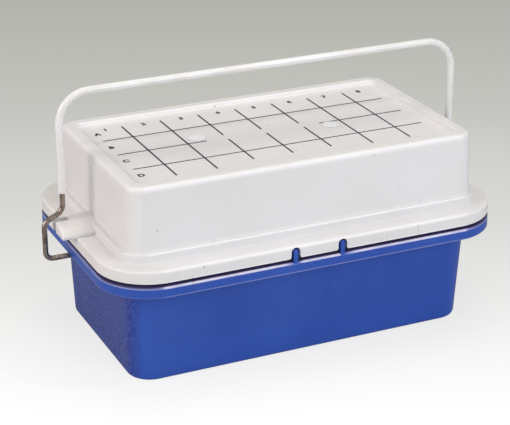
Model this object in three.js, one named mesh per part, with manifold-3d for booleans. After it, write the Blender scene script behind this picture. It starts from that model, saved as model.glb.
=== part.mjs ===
// A bench-top cooler for sample tubes. A blue tub holds a white tray of wells, a white
// lid with a numbered grid stands on the tub, and a wire bail with a soft sleeve carries
// it all. The tub and the lid are filled with a coolant gel.
//
// Millimetres, +X along the long side, -Y the front, +Z up. The origin is the middle of
// the underside.

import * as THREE from 'three';
import { mergeVertices } from 'three/addons/utils/BufferGeometryUtils.js';
import Module from 'manifold-3d';

const wasm = await Module();
wasm.setup();

// Fits
const GAP = 0.3;
const THROUGH = 1;

// Tub
const FLOOR = 3;
const WALL = 3;
const TUB_FOOT = { halfX: 110.2, halfY: 60, radius: 15 };
const TUB_TOP = { halfX: 112, halfY: 63.6, radius: 14 };
const FOOT_ROUNDING = 2.5;
const FOOT_INSET = 2;
const FOOT_EASE = 0.75;
const FLANGE = { halfX: 127.8, halfY: 79.4, radius: 33 };
const FLANGE_BOTTOM = 62;
const FLANGE_TOP = 68.8;
const FLANGE_WEB = 2.8;
const FLANGE_LIP = 3;
const EDGE = 0.8;
const UPSTAND_INSET = 5.4;
const UPSTAND_WALL = 2.8;
const UPSTAND_TOP = 75.9;
const KEY_SPACING = 30.5;
const KEY_MIDDLE_X = -1.4;
const KEY_WIDTH = 2.8;
const KEY_DEPTH = 2.6;
const KEY_TOP = 76.8;

// Wells
const PITCH = 25.4;
const COLUMNS = 8;
const ROWS = 4;
const WELL_RADIUS = 6.4;
const WELL_WALL = 1.5;
const WELL_DEPTH = 40;
const WELL_SIDES = 16;
const GEL_HOLE_SIDES = 12;
const GEL_CLEARANCE = 0.9;
const TRAY_PLATE = 2.5;

// Lid
const SKIRT_BOTTOM = 71;
const SKIRT_INSET = 0.3;
const LID_FLANGE_TOP = 78.6;
const LID_FLANGE_UNDER = 76.2;
const STEP = { halfX: 116, halfY: 66.2, radius: 15 };
const STEP_TOP = 84.2;
const BLOCK_FOOT = { halfX: 112.6, halfY: 63.6, radius: 10 };
const BLOCK_TOP = { halfX: 111.4, halfY: 62.4, radius: 10 };
const BLOCK_FOOT_HEIGHT = 85.3;
const RIM_START = 120.4;
const RIM_TOP = 123;
const RIM_ROUNDING = 2.2;
const RIM_WIDTH = 5.6;
const PANEL_TOP = 120.5;
const PANEL_SLOPE = 1.8;
const PANEL_THICKNESS = 3;
const LINER_SEAT = 81.4;
const LINER_LEDGE = 2.8;
const LINER_THICKNESS = 2.4;
const NOTCH_WIDTH = 5.8;
const NOTCH_TOP = 78;
const GROOVE_RADIUS = 4;
const GROOVE_DEPTH = 1.7;
const GROOVE_TOP = 117.5;

// Fill plugs
const PLUG_OFFSET_X = 42;
const PLUG_OFFSET_Y = 6.2;
const PLUG_RADIUS = 4.5;
const PLUG_RECESS = 0.3;

// Bail
const PIVOT_HEIGHT = 61.8;
const WIRE_RADIUS = 1.6;
const WIRE_SIDES = 10;
const SLEEVE_BORE = 1.88;
const SLEEVE_RADIUS = 2.3;
const SLEEVE_END = 102.2;
const BAIL_ARM_X = 130.5;
const BAIL_LEG_X = 142.3;
const BAIL_END_X = 105.6;
const BAIL_TOP = 162.9;
const SHOULDER_TOP = 90.8;
const SHOULDER_FOOT = 85.2;
const BEND_STEPS = 5;
const BAIL_BENDS = { top: 18.5, shoulder: 7, elbow: 5, heel: 4.5 };

// Bail ears on the lid, and the pivot bosses inside the tub
const EAR_HALF_WIDTH = 15;
const EAR_RADIUS = 24;
const EAR_ROOT = 112.5;
const EAR_REACH = 136.2;
const EAR_BOTTOM = 78.2;
const EAR_TOP = PIVOT_HEIGHT + EAR_RADIUS;
const EAR_SLOT = 5.2;
const BOSS_HALF = 7;
const BOSS_REACH = 103.4;
const POCKET_REACH = 105;

const CORNER_STEPS = 8;
const DISC_SIDES = 24;

const material = (color, roughness, metalness = 0) => (
  new THREE.MeshStandardMaterial({ color, roughness, metalness }));

const BLUE = material(0x3c57a4, 0.45);
const WHITE = material(0xdcdee2, 0.5);
const TRAY_WHITE = material(0xe4e4e0, 0.5);
const GEL = material(0x9cc8dc, 0.3);
const STEEL = material(0x8a7f76, 0.35, 1);
const VINYL = material(0xe8e8e8, 0.3);

// Solids

function solid(geometry) {
  geometry.deleteAttribute('normal');
  geometry.deleteAttribute('uv');
  const merged = mergeVertices(geometry);
  return new wasm.Manifold(new wasm.Mesh({
    numProp: 3,
    vertProperties: new Float32Array(merged.attributes.position.array),
    triVerts: new Uint32Array(merged.index.array),
  }));
}

function piece(name, body, finish) {
  const { vertProperties, triVerts } = body.getMesh();
  const geometry = new THREE.BufferGeometry();
  geometry.setAttribute('position', new THREE.BufferAttribute(vertProperties, 3));
  geometry.setIndex(new THREE.BufferAttribute(triVerts, 1));
  geometry.computeVertexNormals();
  const mesh = new THREE.Mesh(geometry, finish);
  mesh.name = name;
  return mesh;
}

function inset({ halfX, halfY, radius }, amount) {
  return { halfX: halfX - amount, halfY: halfY - amount, radius: radius - amount };
}

function between(low, high, share) {
  const mix = (key) => THREE.MathUtils.lerp(low[key], high[key], share);
  return { halfX: mix('halfX'), halfY: mix('halfY'), radius: mix('radius') };
}

function ringPoints({ halfX, halfY, radius }, z) {
  const points = [];
  for (let quarter = 0; quarter < 4; quarter += 1) {
    const sideX = quarter === 0 || quarter === 3 ? 1 : -1;
    const sideY = quarter < 2 ? 1 : -1;
    for (let step = 0; step <= CORNER_STEPS; step += 1) {
      const angle = (quarter + step / CORNER_STEPS) * Math.PI / 2;
      const x = sideX * (halfX - radius) + radius * Math.cos(angle);
      const y = sideY * (halfY - radius) + radius * Math.sin(angle);
      points.push(x, y, z);
    }
  }
  return points;
}

// A closed body through rounded rectangles, each given with its height.
function stack(levels) {
  const count = 4 * (CORNER_STEPS + 1);
  const top = (levels.length - 1) * count;
  const index = [];
  for (let start = 0; start < top; start += count) {
    for (let i = 0; i < count; i += 1) {
      const here = start + i;
      const next = start + (i + 1) % count;
      index.push(here, next, next + count);
      index.push(here, next + count, here + count);
    }
  }
  for (let i = 1; i < count - 1; i += 1) {
    index.push(0, i + 1, i);
    index.push(top, top + i, top + i + 1);
  }
  const positions = levels.flatMap(([z, outline]) => ringPoints(outline, z));
  const geometry = new THREE.BufferGeometry();
  geometry.setAttribute('position', new THREE.Float32BufferAttribute(positions, 3));
  geometry.setIndex(index);
  return solid(geometry);
}

function slab(outline, bottom, top) {
  return stack([[bottom, outline], [top, outline]]);
}

function block(lowX, highX, lowY, highY, lowZ, highZ) {
  const geometry = new THREE.BoxGeometry(highX - lowX, highY - lowY, highZ - lowZ);
  geometry.translate((lowX + highX) / 2, (lowY + highY) / 2, (lowZ + highZ) / 2);
  return solid(geometry);
}

function uprightRod(radius, sides, x, y, bottom, top) {
  const geometry = new THREE.CylinderGeometry(radius, radius, top - bottom, sides);
  geometry.rotateX(Math.PI / 2);
  geometry.translate(x, y, (bottom + top) / 2);
  return solid(geometry);
}

function levelRod(radius, sides, lowX, highX, z) {
  const geometry = new THREE.CylinderGeometry(radius, radius, highX - lowX, sides);
  geometry.rotateZ(Math.PI / 2);
  geometry.translate((lowX + highX) / 2, 0, z);
  return solid(geometry);
}

// An outline in Y and Z, drawn as a shape, and pushed along X.
function endwiseSlab(shape, lowX, highX) {
  const geometry = new THREE.ExtrudeGeometry(shape, {
    depth: highX - lowX,
    bevelEnabled: false,
    curveSegments: DISC_SIDES / 2,
  });
  geometry.rotateX(Math.PI / 2);
  geometry.rotateZ(Math.PI / 2);
  geometry.translate(lowX, 0, 0);
  return solid(geometry);
}

function join(bodies) {
  return bodies.reduce((sum, body) => sum.add(body));
}

function atBothEnds(make) {
  return join([make(1), make(-1)]);
}

function endBlock(end, nearX, farX, halfY, lowZ, highZ) {
  const low = Math.min(end * nearX, end * farX);
  const high = Math.max(end * nearX, end * farX);
  return block(low, high, -halfY, halfY, lowZ, highZ);
}

// Tub

function tubOutline(z) {
  return between(TUB_FOOT, TUB_TOP, z / FLANGE_BOTTOM);
}

function tubBody() {
  return stack([
    [0, inset(TUB_FOOT, FOOT_INSET)],
    [FOOT_EASE, inset(TUB_FOOT, FOOT_EASE)],
    [FOOT_ROUNDING, tubOutline(FOOT_ROUNDING)],
    [FLANGE_TOP - THROUGH, tubOutline(FLANGE_TOP - THROUGH)],
  ]);
}

function tubHollow() {
  return stack([
    [FLOOR, inset(tubOutline(FLOOR), WALL + FOOT_EASE)],
    [FLOOR + FOOT_ROUNDING, inset(tubOutline(FLOOR + FOOT_ROUNDING), WALL)],
    [FLANGE_BOTTOM, inset(TUB_TOP, WALL)],
    [UPSTAND_TOP + THROUGH, inset(TUB_TOP, WALL)],
  ]);
}

function tubFlange() {
  const outside = stack([
    [FLANGE_BOTTOM, FLANGE],
    [FLANGE_TOP - EDGE, FLANGE],
    [FLANGE_TOP, inset(FLANGE, EDGE)],
  ]);
  const channel = slab(
    inset(FLANGE, FLANGE_LIP), FLANGE_BOTTOM - THROUGH, FLANGE_TOP - FLANGE_WEB);
  return outside.subtract(channel);
}

function pivotBoss(end) {
  return endBlock(end, BOSS_REACH, TUB_TOP.halfX - WALL / 2, BOSS_HALF,
    PIVOT_HEIGHT - BOSS_HALF, FLANGE_TOP - THROUGH);
}

// The bail's end passes a notch in the flange's lip and turns in a blind pocket.
function pivotPocket(end) {
  const low = end > 0 ? POCKET_REACH : -FLANGE.halfX - THROUGH;
  const high = end > 0 ? FLANGE.halfX + THROUGH : -POCKET_REACH;
  return levelRod(WIRE_RADIUS + GAP, DISC_SIDES, low, high, PIVOT_HEIGHT);
}

function frontKey(side) {
  const middle = KEY_MIDDLE_X + side * KEY_SPACING / 2;
  return block(middle - KEY_WIDTH / 2, middle + KEY_WIDTH / 2,
    -FLANGE.halfY, -FLANGE.halfY + KEY_DEPTH, FLANGE_TOP - 2 * EDGE, KEY_TOP);
}

function baseShell() {
  const upstand = slab(inset(FLANGE, UPSTAND_INSET), FLANGE_TOP - THROUGH, UPSTAND_TOP);
  const traySeat = slab(
    inset(FLANGE, UPSTAND_INSET + UPSTAND_WALL), FLANGE_TOP, UPSTAND_TOP + THROUGH);
  return join([tubBody(), tubFlange(), upstand, atBothEnds(frontKey)])
    .subtract(traySeat)
    .subtract(tubHollow())
    .add(atBothEnds(pivotBoss))
    .subtract(atBothEnds(pivotPocket))
    .subtract(atBothEnds((end) => plugHole(end, 0, FLOOR)));
}

// Fill plugs close the holes that the gel is poured through.

function plugHole(side, lowZ, highZ) {
  return uprightRod(PLUG_RADIUS, DISC_SIDES, side * PLUG_OFFSET_X, -side * PLUG_OFFSET_Y,
    lowZ - THROUGH, highZ + THROUGH);
}

function fillPlug(side, lowZ, highZ) {
  return uprightRod(PLUG_RADIUS - GAP, DISC_SIDES, side * PLUG_OFFSET_X, -side * PLUG_OFFSET_Y,
    lowZ, highZ);
}

// Tray of wells

const TRAY_BOTTOM = FLANGE_TOP + GAP;
const TRAY_TOP = TRAY_BOTTOM + TRAY_PLATE;
const WELL_FLOOR = TRAY_TOP - WELL_DEPTH;
const WELL_BOTTOM = WELL_FLOOR - WELL_WALL;

function atEachWell(make) {
  const bodies = [];
  for (let column = 0; column < COLUMNS; column += 1) {
    for (let row = 0; row < ROWS; row += 1) {
      const x = (column - (COLUMNS - 1) / 2) * PITCH;
      const y = (row - (ROWS - 1) / 2) * PITCH;
      bodies.push(make(x, y));
    }
  }
  return join(bodies);
}

function wellTray() {
  const plate = slab(
    inset(FLANGE, UPSTAND_INSET + UPSTAND_WALL + GAP), TRAY_BOTTOM, TRAY_TOP);
  const cups = atEachWell((x, y) => uprightRod(
    WELL_RADIUS + WELL_WALL, WELL_SIDES, x, y, WELL_BOTTOM, TRAY_BOTTOM + THROUGH));
  const bores = atEachWell((x, y) => uprightRod(
    WELL_RADIUS, WELL_SIDES, x, y, WELL_FLOOR, TRAY_TOP + THROUGH));
  return plate.add(cups).subtract(bores);
}

function baseGel() {
  const top = FLANGE_TOP - 2 * THROUGH;
  const spare = WALL + 2 * GAP;
  const low = FLOOR + GAP;
  const filling = stack([
    [low, inset(tubOutline(low), spare + FOOT_EASE)],
    [low + FOOT_ROUNDING, inset(tubOutline(low + FOOT_ROUNDING), spare)],
    [FLANGE_BOTTOM, inset(TUB_TOP, spare)],
    [top, inset(TUB_TOP, spare)],
  ]);
  const wells = atEachWell((x, y) => uprightRod(
    WELL_RADIUS + WELL_WALL + GEL_CLEARANCE, GEL_HOLE_SIDES, x, y,
    WELL_BOTTOM - GAP, top + THROUGH));
  const bosses = atBothEnds((end) => endBlock(end, BOSS_REACH - GAP, TUB_TOP.halfX,
    BOSS_HALF + GAP, PIVOT_HEIGHT - BOSS_HALF - GAP, top + THROUGH));
  return filling.subtract(wells).subtract(bosses);
}

// Lid

function lidOutside() {
  const skirt = inset(FLANGE, SKIRT_INSET);
  const rim = inset(BLOCK_TOP, RIM_ROUNDING);
  const panel = inset(rim, RIM_WIDTH);
  return stack([
    [SKIRT_BOTTOM, skirt],
    [LID_FLANGE_TOP - EDGE, inset(skirt, EDGE / 2)],
    [LID_FLANGE_TOP, inset(skirt, 2 * EDGE)],
    [LID_FLANGE_TOP, STEP],
    [STEP_TOP - EDGE, inset(STEP, EDGE / 4)],
    [STEP_TOP, inset(STEP, EDGE)],
    [BLOCK_FOOT_HEIGHT, BLOCK_FOOT],
    [RIM_START, BLOCK_TOP],
    [(RIM_START + 2 * RIM_TOP) / 3, inset(BLOCK_TOP, RIM_ROUNDING / 3)],
    [RIM_TOP, rim],
    [RIM_TOP, panel],
    [PANEL_TOP, inset(panel, PANEL_SLOPE / 2)],
  ]);
}

function lidHollow() {
  const skirt = inset(FLANGE, SKIRT_INSET + FLANGE_LIP);
  const room = inset(BLOCK_FOOT, WALL);
  const seat = inset(room, -LINER_LEDGE);
  return stack([
    [SKIRT_BOTTOM - THROUGH, skirt],
    [LID_FLANGE_UNDER, inset(skirt, EDGE / 2)],
    [LID_FLANGE_UNDER, seat],
    [LINER_SEAT, seat],
    [LINER_SEAT, room],
    [PANEL_TOP - PANEL_THICKNESS, inset(BLOCK_TOP, WALL)],
  ]);
}

// An ear stands out under each shoulder of the bail. Its top is an arc about the pivot,
// and its slot lets the arm of the bail pass when the lid is lifted.
function ear(end) {
  const side = Math.asin(EAR_HALF_WIDTH / EAR_RADIUS);
  const outline = new THREE.Shape();
  outline.moveTo(-EAR_HALF_WIDTH, EAR_BOTTOM);
  outline.lineTo(EAR_HALF_WIDTH, EAR_BOTTOM);
  outline.absarc(0, PIVOT_HEIGHT, EAR_RADIUS, Math.PI / 2 - side, Math.PI / 2 + side);
  const low = end > 0 ? EAR_ROOT : -EAR_REACH;
  const high = end > 0 ? EAR_REACH : -EAR_ROOT;
  return endwiseSlab(outline, low, high);
}

function earSlot(end) {
  const inner = BAIL_ARM_X - SLEEVE_RADIUS - GAP;
  return endBlock(end, inner, EAR_REACH + THROUGH, EAR_SLOT / 2,
    EAR_BOTTOM - THROUGH, EAR_TOP + THROUGH);
}

// A half-round groove down the middle of each end wall, leaning with the wall.
function endGroove(end) {
  const lean = Math.atan2(
    BLOCK_FOOT.halfX - BLOCK_TOP.halfX, RIM_START - BLOCK_FOOT_HEIGHT);
  const height = GROOVE_TOP - EAR_TOP;
  const middle = (GROOVE_TOP + EAR_TOP) / 2;
  const share = (middle - BLOCK_FOOT_HEIGHT) / (RIM_START - BLOCK_FOOT_HEIGHT);
  const wall = between(BLOCK_FOOT, BLOCK_TOP, share).halfX;
  const geometry = new THREE.CylinderGeometry(
    GROOVE_RADIUS, GROOVE_RADIUS, height, DISC_SIDES);
  geometry.rotateX(Math.PI / 2);
  geometry.rotateY(-end * lean);
  geometry.translate(end * (wall + GROOVE_RADIUS - GROOVE_DEPTH), 0, middle);
  return solid(geometry);
}

function skirtNotch(side) {
  const middle = KEY_MIDDLE_X + side * KEY_SPACING / 2;
  const round = NOTCH_WIDTH / 2;
  const front = -FLANGE.halfY - THROUGH;
  const back = -FLANGE.halfY + KEY_DEPTH + THROUGH;
  const arch = new THREE.CylinderGeometry(round, round, back - front, DISC_SIDES);
  arch.translate(middle, (front + back) / 2, 0);
  arch.translate(0, 0, NOTCH_TOP - round);
  const opening = block(middle - round, middle + round, front, back,
    SKIRT_BOTTOM - THROUGH, NOTCH_TOP - round);
  return opening.add(solid(arch));
}

function lidShell() {
  const panelBottom = PANEL_TOP - PANEL_THICKNESS;
  return lidOutside()
    .subtract(lidHollow())
    .add(atBothEnds(ear))
    .subtract(atBothEnds(earSlot))
    .subtract(atBothEnds(endGroove))
    .subtract(atBothEnds(skirtNotch))
    .subtract(atBothEnds((end) => plugHole(end, panelBottom, PANEL_TOP)));
}

function lidLiner() {
  const seat = inset(BLOCK_FOOT, WALL - LINER_LEDGE + GAP);
  const top = LINER_SEAT - GAP;
  return slab(seat, top - LINER_THICKNESS, top);
}

function lidGel() {
  const spare = WALL + 2 * GAP;
  return stack([
    [LINER_SEAT + GAP, inset(BLOCK_FOOT, spare)],
    [PANEL_TOP - PANEL_THICKNESS - GAP, inset(BLOCK_TOP, spare)],
  ]);
}

// Bail

// A path through given stations, evenly by station and not by length, so that the bends
// get as many steps as they need and a straight run gets one.
class StationPath extends THREE.Curve {
  constructor(stations) {
    super();
    this.stations = stations;
  }

  getPoint(t, target = new THREE.Vector3()) {
    const place = t * (this.stations.length - 1);
    const index = Math.min(Math.floor(place), this.stations.length - 2);
    return target.lerpVectors(this.stations[index], this.stations[index + 1], place - index);
  }

  getPointAt(u, target) {
    return this.getPoint(u, target);
  }

  getTangentAt(u, target) {
    return this.getTangent(u, target);
  }
}

// Rounds each inner corner of a path with its own bend radius.
function bentPath(corners) {
  const stations = [corners[0].at];
  for (let i = 1; i < corners.length - 1; i += 1) {
    const { at, bend } = corners[i];
    const back = corners[i - 1].at.clone().sub(at).normalize();
    const ahead = corners[i + 1].at.clone().sub(at).normalize();
    const half = back.angleTo(ahead) / 2;
    const centre = back.clone().add(ahead).normalize()
      .multiplyScalar(bend / Math.sin(half)).add(at);
    const from = at.clone().addScaledVector(back, bend / Math.tan(half)).sub(centre);
    const to = at.clone().addScaledVector(ahead, bend / Math.tan(half)).sub(centre);
    const turn = from.angleTo(to);
    for (let step = 0; step <= BEND_STEPS; step += 1) {
      const share = step / BEND_STEPS;
      const spoke = from.clone().multiplyScalar(Math.sin((1 - share) * turn))
        .addScaledVector(to, Math.sin(share * turn))
        .divideScalar(Math.sin(turn));
      stations.push(spoke.add(centre));
    }
  }
  stations.push(corners[corners.length - 1].at);
  return stations;
}

function rodAlong(stations, radius) {
  const section = new THREE.Shape();
  section.absarc(0, 0, radius, 0, 2 * Math.PI);
  return solid(new THREE.ExtrudeGeometry(section, {
    steps: stations.length - 1,
    curveSegments: WIRE_SIDES,
    extrudePath: new StationPath(stations),
  }));
}

function corner(x, z, bend) {
  return { at: new THREE.Vector3(x, 0, z), bend };
}

function mirrored(corners) {
  const others = corners.map(({ at, bend }) => corner(-at.x, at.z, bend));
  return [...corners, ...others.reverse()];
}

function bailWire() {
  return rodAlong(bentPath(mirrored([
    corner(BAIL_END_X, PIVOT_HEIGHT),
    corner(BAIL_LEG_X, PIVOT_HEIGHT, BAIL_BENDS.heel),
    corner(BAIL_LEG_X, SHOULDER_FOOT, BAIL_BENDS.elbow),
    corner(BAIL_ARM_X, SHOULDER_TOP, BAIL_BENDS.shoulder),
    corner(BAIL_ARM_X, BAIL_TOP, BAIL_BENDS.top),
  ])), WIRE_RADIUS);
}

function bailSleeve() {
  const grip = (end) => bentPath(mirrored([
    corner(BAIL_ARM_X, end),
    corner(BAIL_ARM_X, BAIL_TOP, BAIL_BENDS.top),
  ]));
  return rodAlong(grip(SLEEVE_END), SLEEVE_RADIUS)
    .subtract(rodAlong(grip(SLEEVE_END - THROUGH), SLEEVE_BORE));
}

// Assembly

function base() {
  const group = new THREE.Group();
  group.add(piece('base_shell', baseShell(), BLUE));
  group.add(piece('well_tray', wellTray(), TRAY_WHITE));
  group.add(piece('base_coolant_gel', baseGel(), GEL));
  group.add(piece('base_fill_plug_left', fillPlug(-1, PLUG_RECESS, FLOOR), BLUE));
  group.add(piece('base_fill_plug_right', fillPlug(1, PLUG_RECESS, FLOOR), BLUE));
  return group;
}

function lid() {
  const plugBottom = PANEL_TOP - PANEL_THICKNESS;
  const plugTop = PANEL_TOP - PLUG_RECESS;
  const group = new THREE.Group();
  group.add(piece('lid_shell', lidShell(), WHITE));
  group.add(piece('lid_liner', lidLiner(), TRAY_WHITE));
  group.add(piece('lid_coolant_gel', lidGel(), GEL));
  group.add(piece('lid_fill_plug_left', fillPlug(-1, plugBottom, plugTop), WHITE));
  group.add(piece('lid_fill_plug_right', fillPlug(1, plugBottom, plugTop), WHITE));
  return group;
}

function bail() {
  const group = new THREE.Group();
  group.add(piece('bail_wire', bailWire(), STEEL));
  group.add(piece('bail_sleeve', bailSleeve(), VINYL));
  return group;
}

const cooler = new THREE.Group();
cooler.add(base(), lid(), bail());

export default cooler;
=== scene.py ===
"""Looks of a bench-top tube cooler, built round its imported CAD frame.

A blue tub with a tray of tube wells carries a white lid with a printed grid. A wire bail
with a soft sleeve swings over both. Metres throughout, in the frame's own axes: +X along
the long side, -Y the front and +Z up.
"""
import logging
import math
from collections.abc import Callable, Sequence
from dataclasses import astuple, dataclass, field, replace
from enum import Enum, IntEnum

import bmesh
import bpy
from bmesh.types import BMesh
from bpy.types import ID, Material, Mesh, Node, NodeSocket, NodeTree, World
from bpy.types import Object as Piece
from mathutils import Matrix, Vector

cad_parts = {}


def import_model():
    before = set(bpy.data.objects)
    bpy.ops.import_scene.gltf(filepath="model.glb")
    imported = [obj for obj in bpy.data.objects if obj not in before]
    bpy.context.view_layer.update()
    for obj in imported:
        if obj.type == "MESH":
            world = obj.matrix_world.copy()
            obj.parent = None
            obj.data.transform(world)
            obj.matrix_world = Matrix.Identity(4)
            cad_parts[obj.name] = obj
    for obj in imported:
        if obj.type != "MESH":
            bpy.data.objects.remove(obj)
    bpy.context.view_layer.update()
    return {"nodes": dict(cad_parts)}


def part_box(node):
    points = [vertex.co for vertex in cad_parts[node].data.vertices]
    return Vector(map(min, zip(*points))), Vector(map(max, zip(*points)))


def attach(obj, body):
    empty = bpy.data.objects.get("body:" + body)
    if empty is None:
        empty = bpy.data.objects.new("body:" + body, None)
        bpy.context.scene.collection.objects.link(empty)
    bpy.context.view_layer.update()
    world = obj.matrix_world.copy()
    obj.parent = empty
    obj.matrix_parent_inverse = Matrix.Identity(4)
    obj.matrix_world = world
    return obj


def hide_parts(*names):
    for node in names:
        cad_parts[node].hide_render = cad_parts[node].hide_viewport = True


LOG = logging.getLogger("tube_cooler")
MM = 0.001

# Steps in a corner, a straight side, a rounding, a bend, and round rods, plugs and wells
CORNER_STEPS = 20
SIDE_STEPS = 16
SOFT_STEPS = 5
BEND_STEPS = 12
ROD_SIDES = 40
RING_STEPS = 48
WELL_SIDES = 40

# How far cutters overshoot, the gap between close parts, and the ease on edges left sharp
OVERSHOOT = 1.0 * MM
SEAM = 0.15 * MM
EASE = 0.25 * MM

# Flats are held from this many radii away from a rounding
HOLD = 1.5
SHARP_ANGLE = math.radians(35)
BEVEL_ANGLE = math.radians(40)
SHADE_ANGLE = math.radians(38)

# The flange's corners, and how much longer than wide the cooler is, halved
FLANGE_RADIUS = 33 * MM
LENGTH_OVER_WIDTH = 48.4 * MM

# The attribute of edges that carry a painted highlight, which also stands for slightly worn
# edges, and how much weaker that painted highlight is on the ends than beside the long sides
GLINT_WEAR_ATTRIBUTE = "glint_wear_edge"
END_GLINT_SHARE = 0.3

Pair = tuple[float, float]
Colour = tuple[float, float, float]
Tone = tuple[int, int, int]


class Body(Enum):
    """Bodies of the frame that pieces ride on."""

    BASE = "base"
    LID = "lid"
    BAIL = "bail"


class Slot(Enum):
    """Material slots of the record."""

    BLUE = "blue_shell"
    WHITE = "white_shell"
    TRAY = "tray_white"
    GEL = "coolant_gel"
    STEEL = "steel_wire"
    VINYL = "vinyl_sleeve"


class End(IntEnum):
    """Ends of the cooler, and sides of a pair: the sign of their place along X."""

    LEFT = -1
    RIGHT = 1


class Joining(Enum):
    """Ways in which a second solid changes a first one."""

    ADD = "UNION"
    CUT = "DIFFERENCE"


def linear(red: int, green: int, blue: int) -> tuple[float, float, float, float]:
    """Turns a display colour, 0 to 255, into the linear colour that shaders use.

    Args:
        red: Red part.
        green: Green part.
        blue: Blue part.

    Returns:
        Linear red, green, blue and full alpha.
    """
    def part(value: int) -> float:
        """One part of the colour, made linear."""
        share = value / 255
        return share / 12.92 if share <= 0.04045 else ((share + 0.055) / 1.055) ** 2.4

    return part(red), part(green), part(blue), 1.0


# Meshes

def arc(centre: Pair, radius: float, start: float, end: float,
        steps: int = CORNER_STEPS) -> list[Pair]:
    """Points along an arc, with both of its ends.

    Args:
        centre: Its middle.
        radius: Its radius.
        start: Angle of its first point.
        end: Angle of its last point.
        steps: Number of steps between the two.

    Returns:
        The points.
    """
    angles = [start + (end - start) * step / steps for step in range(steps + 1)]
    return [(centre[0] + radius * math.cos(angle), centre[1] + radius * math.sin(angle))
            for angle in angles]


def full_turn(count: int) -> list[float]:
    """Angles spread evenly all the way round."""
    return [2 * math.pi * step / count for step in range(count)]


@dataclass(frozen=True)
class Outline:
    """A rounded rectangle about the upright axis.

    Attributes:
        half_x: Half of its length.
        half_y: Half of its width.
        radius: Radius of its corners.
    """

    half_x: float
    half_y: float
    radius: float

    def inset(self, amount: float, least_radius: float = 0.5 * MM) -> "Outline":
        """The outline that lies an amount inside this one.

        Args:
            amount: Distance inwards.
            least_radius: The corner radius never falls below this.

        Returns:
            The smaller outline.
        """
        radius = max(self.radius - amount, least_radius)
        return Outline(self.half_x - amount, self.half_y - amount, radius)

    def mix(self, other: "Outline", share: float) -> "Outline":
        """The outline a share of the way to another.

        Args:
            other: The outline at share 1.
            share: 0 for this outline, 1 for the other.

        Returns:
            The outline between them.
        """
        sizes = zip(astuple(self), astuple(other))
        return Outline(*(low + (high - low) * share for low, high in sizes))

    def ring(self, height: float) -> list[Vector]:
        """Points round the outline at a height, counter-clockwise from above.

        Args:
            height: Where it lies.

        Returns:
            The points, the same number for each outline.
        """
        corners = []
        for quarter in range(4):
            side_x = 1 if quarter in (0, 3) else -1
            side_y = 1 if quarter < 2 else -1
            centre = (side_x * (self.half_x - self.radius),
                      side_y * (self.half_y - self.radius))
            start = quarter * math.pi / 2
            corners.append([Vector((x, y, height)) for x, y in
                            arc(centre, self.radius, start, start + math.pi / 2)])
        points = []
        for corner, following in zip(corners, corners[1:] + corners[:1]):
            points += corner
            points += [corner[-1].lerp(following[0], step / SIDE_STEPS)
                       for step in range(1, SIDE_STEPS)]
        return points


@dataclass(frozen=True)
class Level:
    """One corner of a moulding's section.

    Attributes:
        outline: The outline there.
        height: Its height.
        soften: Radius of the rounding there.
        glint_and_wear: How strongly the rounding carries a painted highlight, which also
            stands for slightly worn edges, 0 to 1.
    """

    outline: Outline
    height: float
    soften: float = 0.0
    glint_and_wear: float = 0.0

    def toward(self, other: "Level", distance: float) -> "Level":
        """A level part of the way to another.

        Args:
            other: The level it lies towards.
            distance: How far along the section.

        Returns:
            The level there.
        """
        run = math.hypot(other.outline.half_x - self.outline.half_x,
                         other.height - self.height)
        return self.mix(other, min(distance / run, 0.5))

    def mix(self, other: "Level", share: float) -> "Level":
        """The level a share of the way to another.

        Args:
            other: The level at share 1.
            share: 0 for this one, 1 for the other.

        Returns:
            The level between them.
        """
        return Level(self.outline.mix(other.outline, share),
                     self.height + (other.height - self.height) * share)


def softened(levels: Sequence[Level]) -> list[Level]:
    """Rounds the corners of a section, and holds the flats beside them flat.

    Args:
        levels: The section's corners.

    Returns:
        Enough levels to draw the rounded section.
    """
    made = [levels[0]]
    for before, here, after in zip(levels, levels[1:], levels[2:]):
        if not here.soften:
            made.append(here)
            continue
        start = here.toward(before, here.soften)
        end = here.toward(after, here.soften)
        made.append(here.toward(before, here.soften * HOLD))
        for step in range(SOFT_STEPS + 1):
            share = step / SOFT_STEPS
            arc = start.mix(here, share).mix(here.mix(end, share), share)
            made.append(replace(arc, glint_and_wear=here.glint_and_wear))
        made.append(here.toward(after, here.soften * HOLD))
    made.append(levels[-1])
    return made


def linked(name: str, data: ID) -> Piece:
    """Makes an object of a mesh, curve, lamp or camera, in the scene.

    Args:
        name: Name of the object.
        data: What it shows.

    Returns:
        The object, at the origin.
    """
    made = bpy.data.objects.new(name, data)
    bpy.context.scene.collection.objects.link(made)
    return made


def object_from(name: str, work: BMesh) -> Piece:
    """Turns an edited mesh into a linked object with its faces outwards.

    Args:
        name: Name of the object.
        work: The mesh, which is freed.

    Returns:
        The object, at the origin.
    """
    bmesh.ops.remove_doubles(work, verts=work.verts, dist=0.001 * MM)
    bmesh.ops.recalc_face_normals(work, faces=work.faces)
    mesh = bpy.data.meshes.new(name)
    work.to_mesh(mesh)
    work.free()
    return linked(name, mesh)


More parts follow.
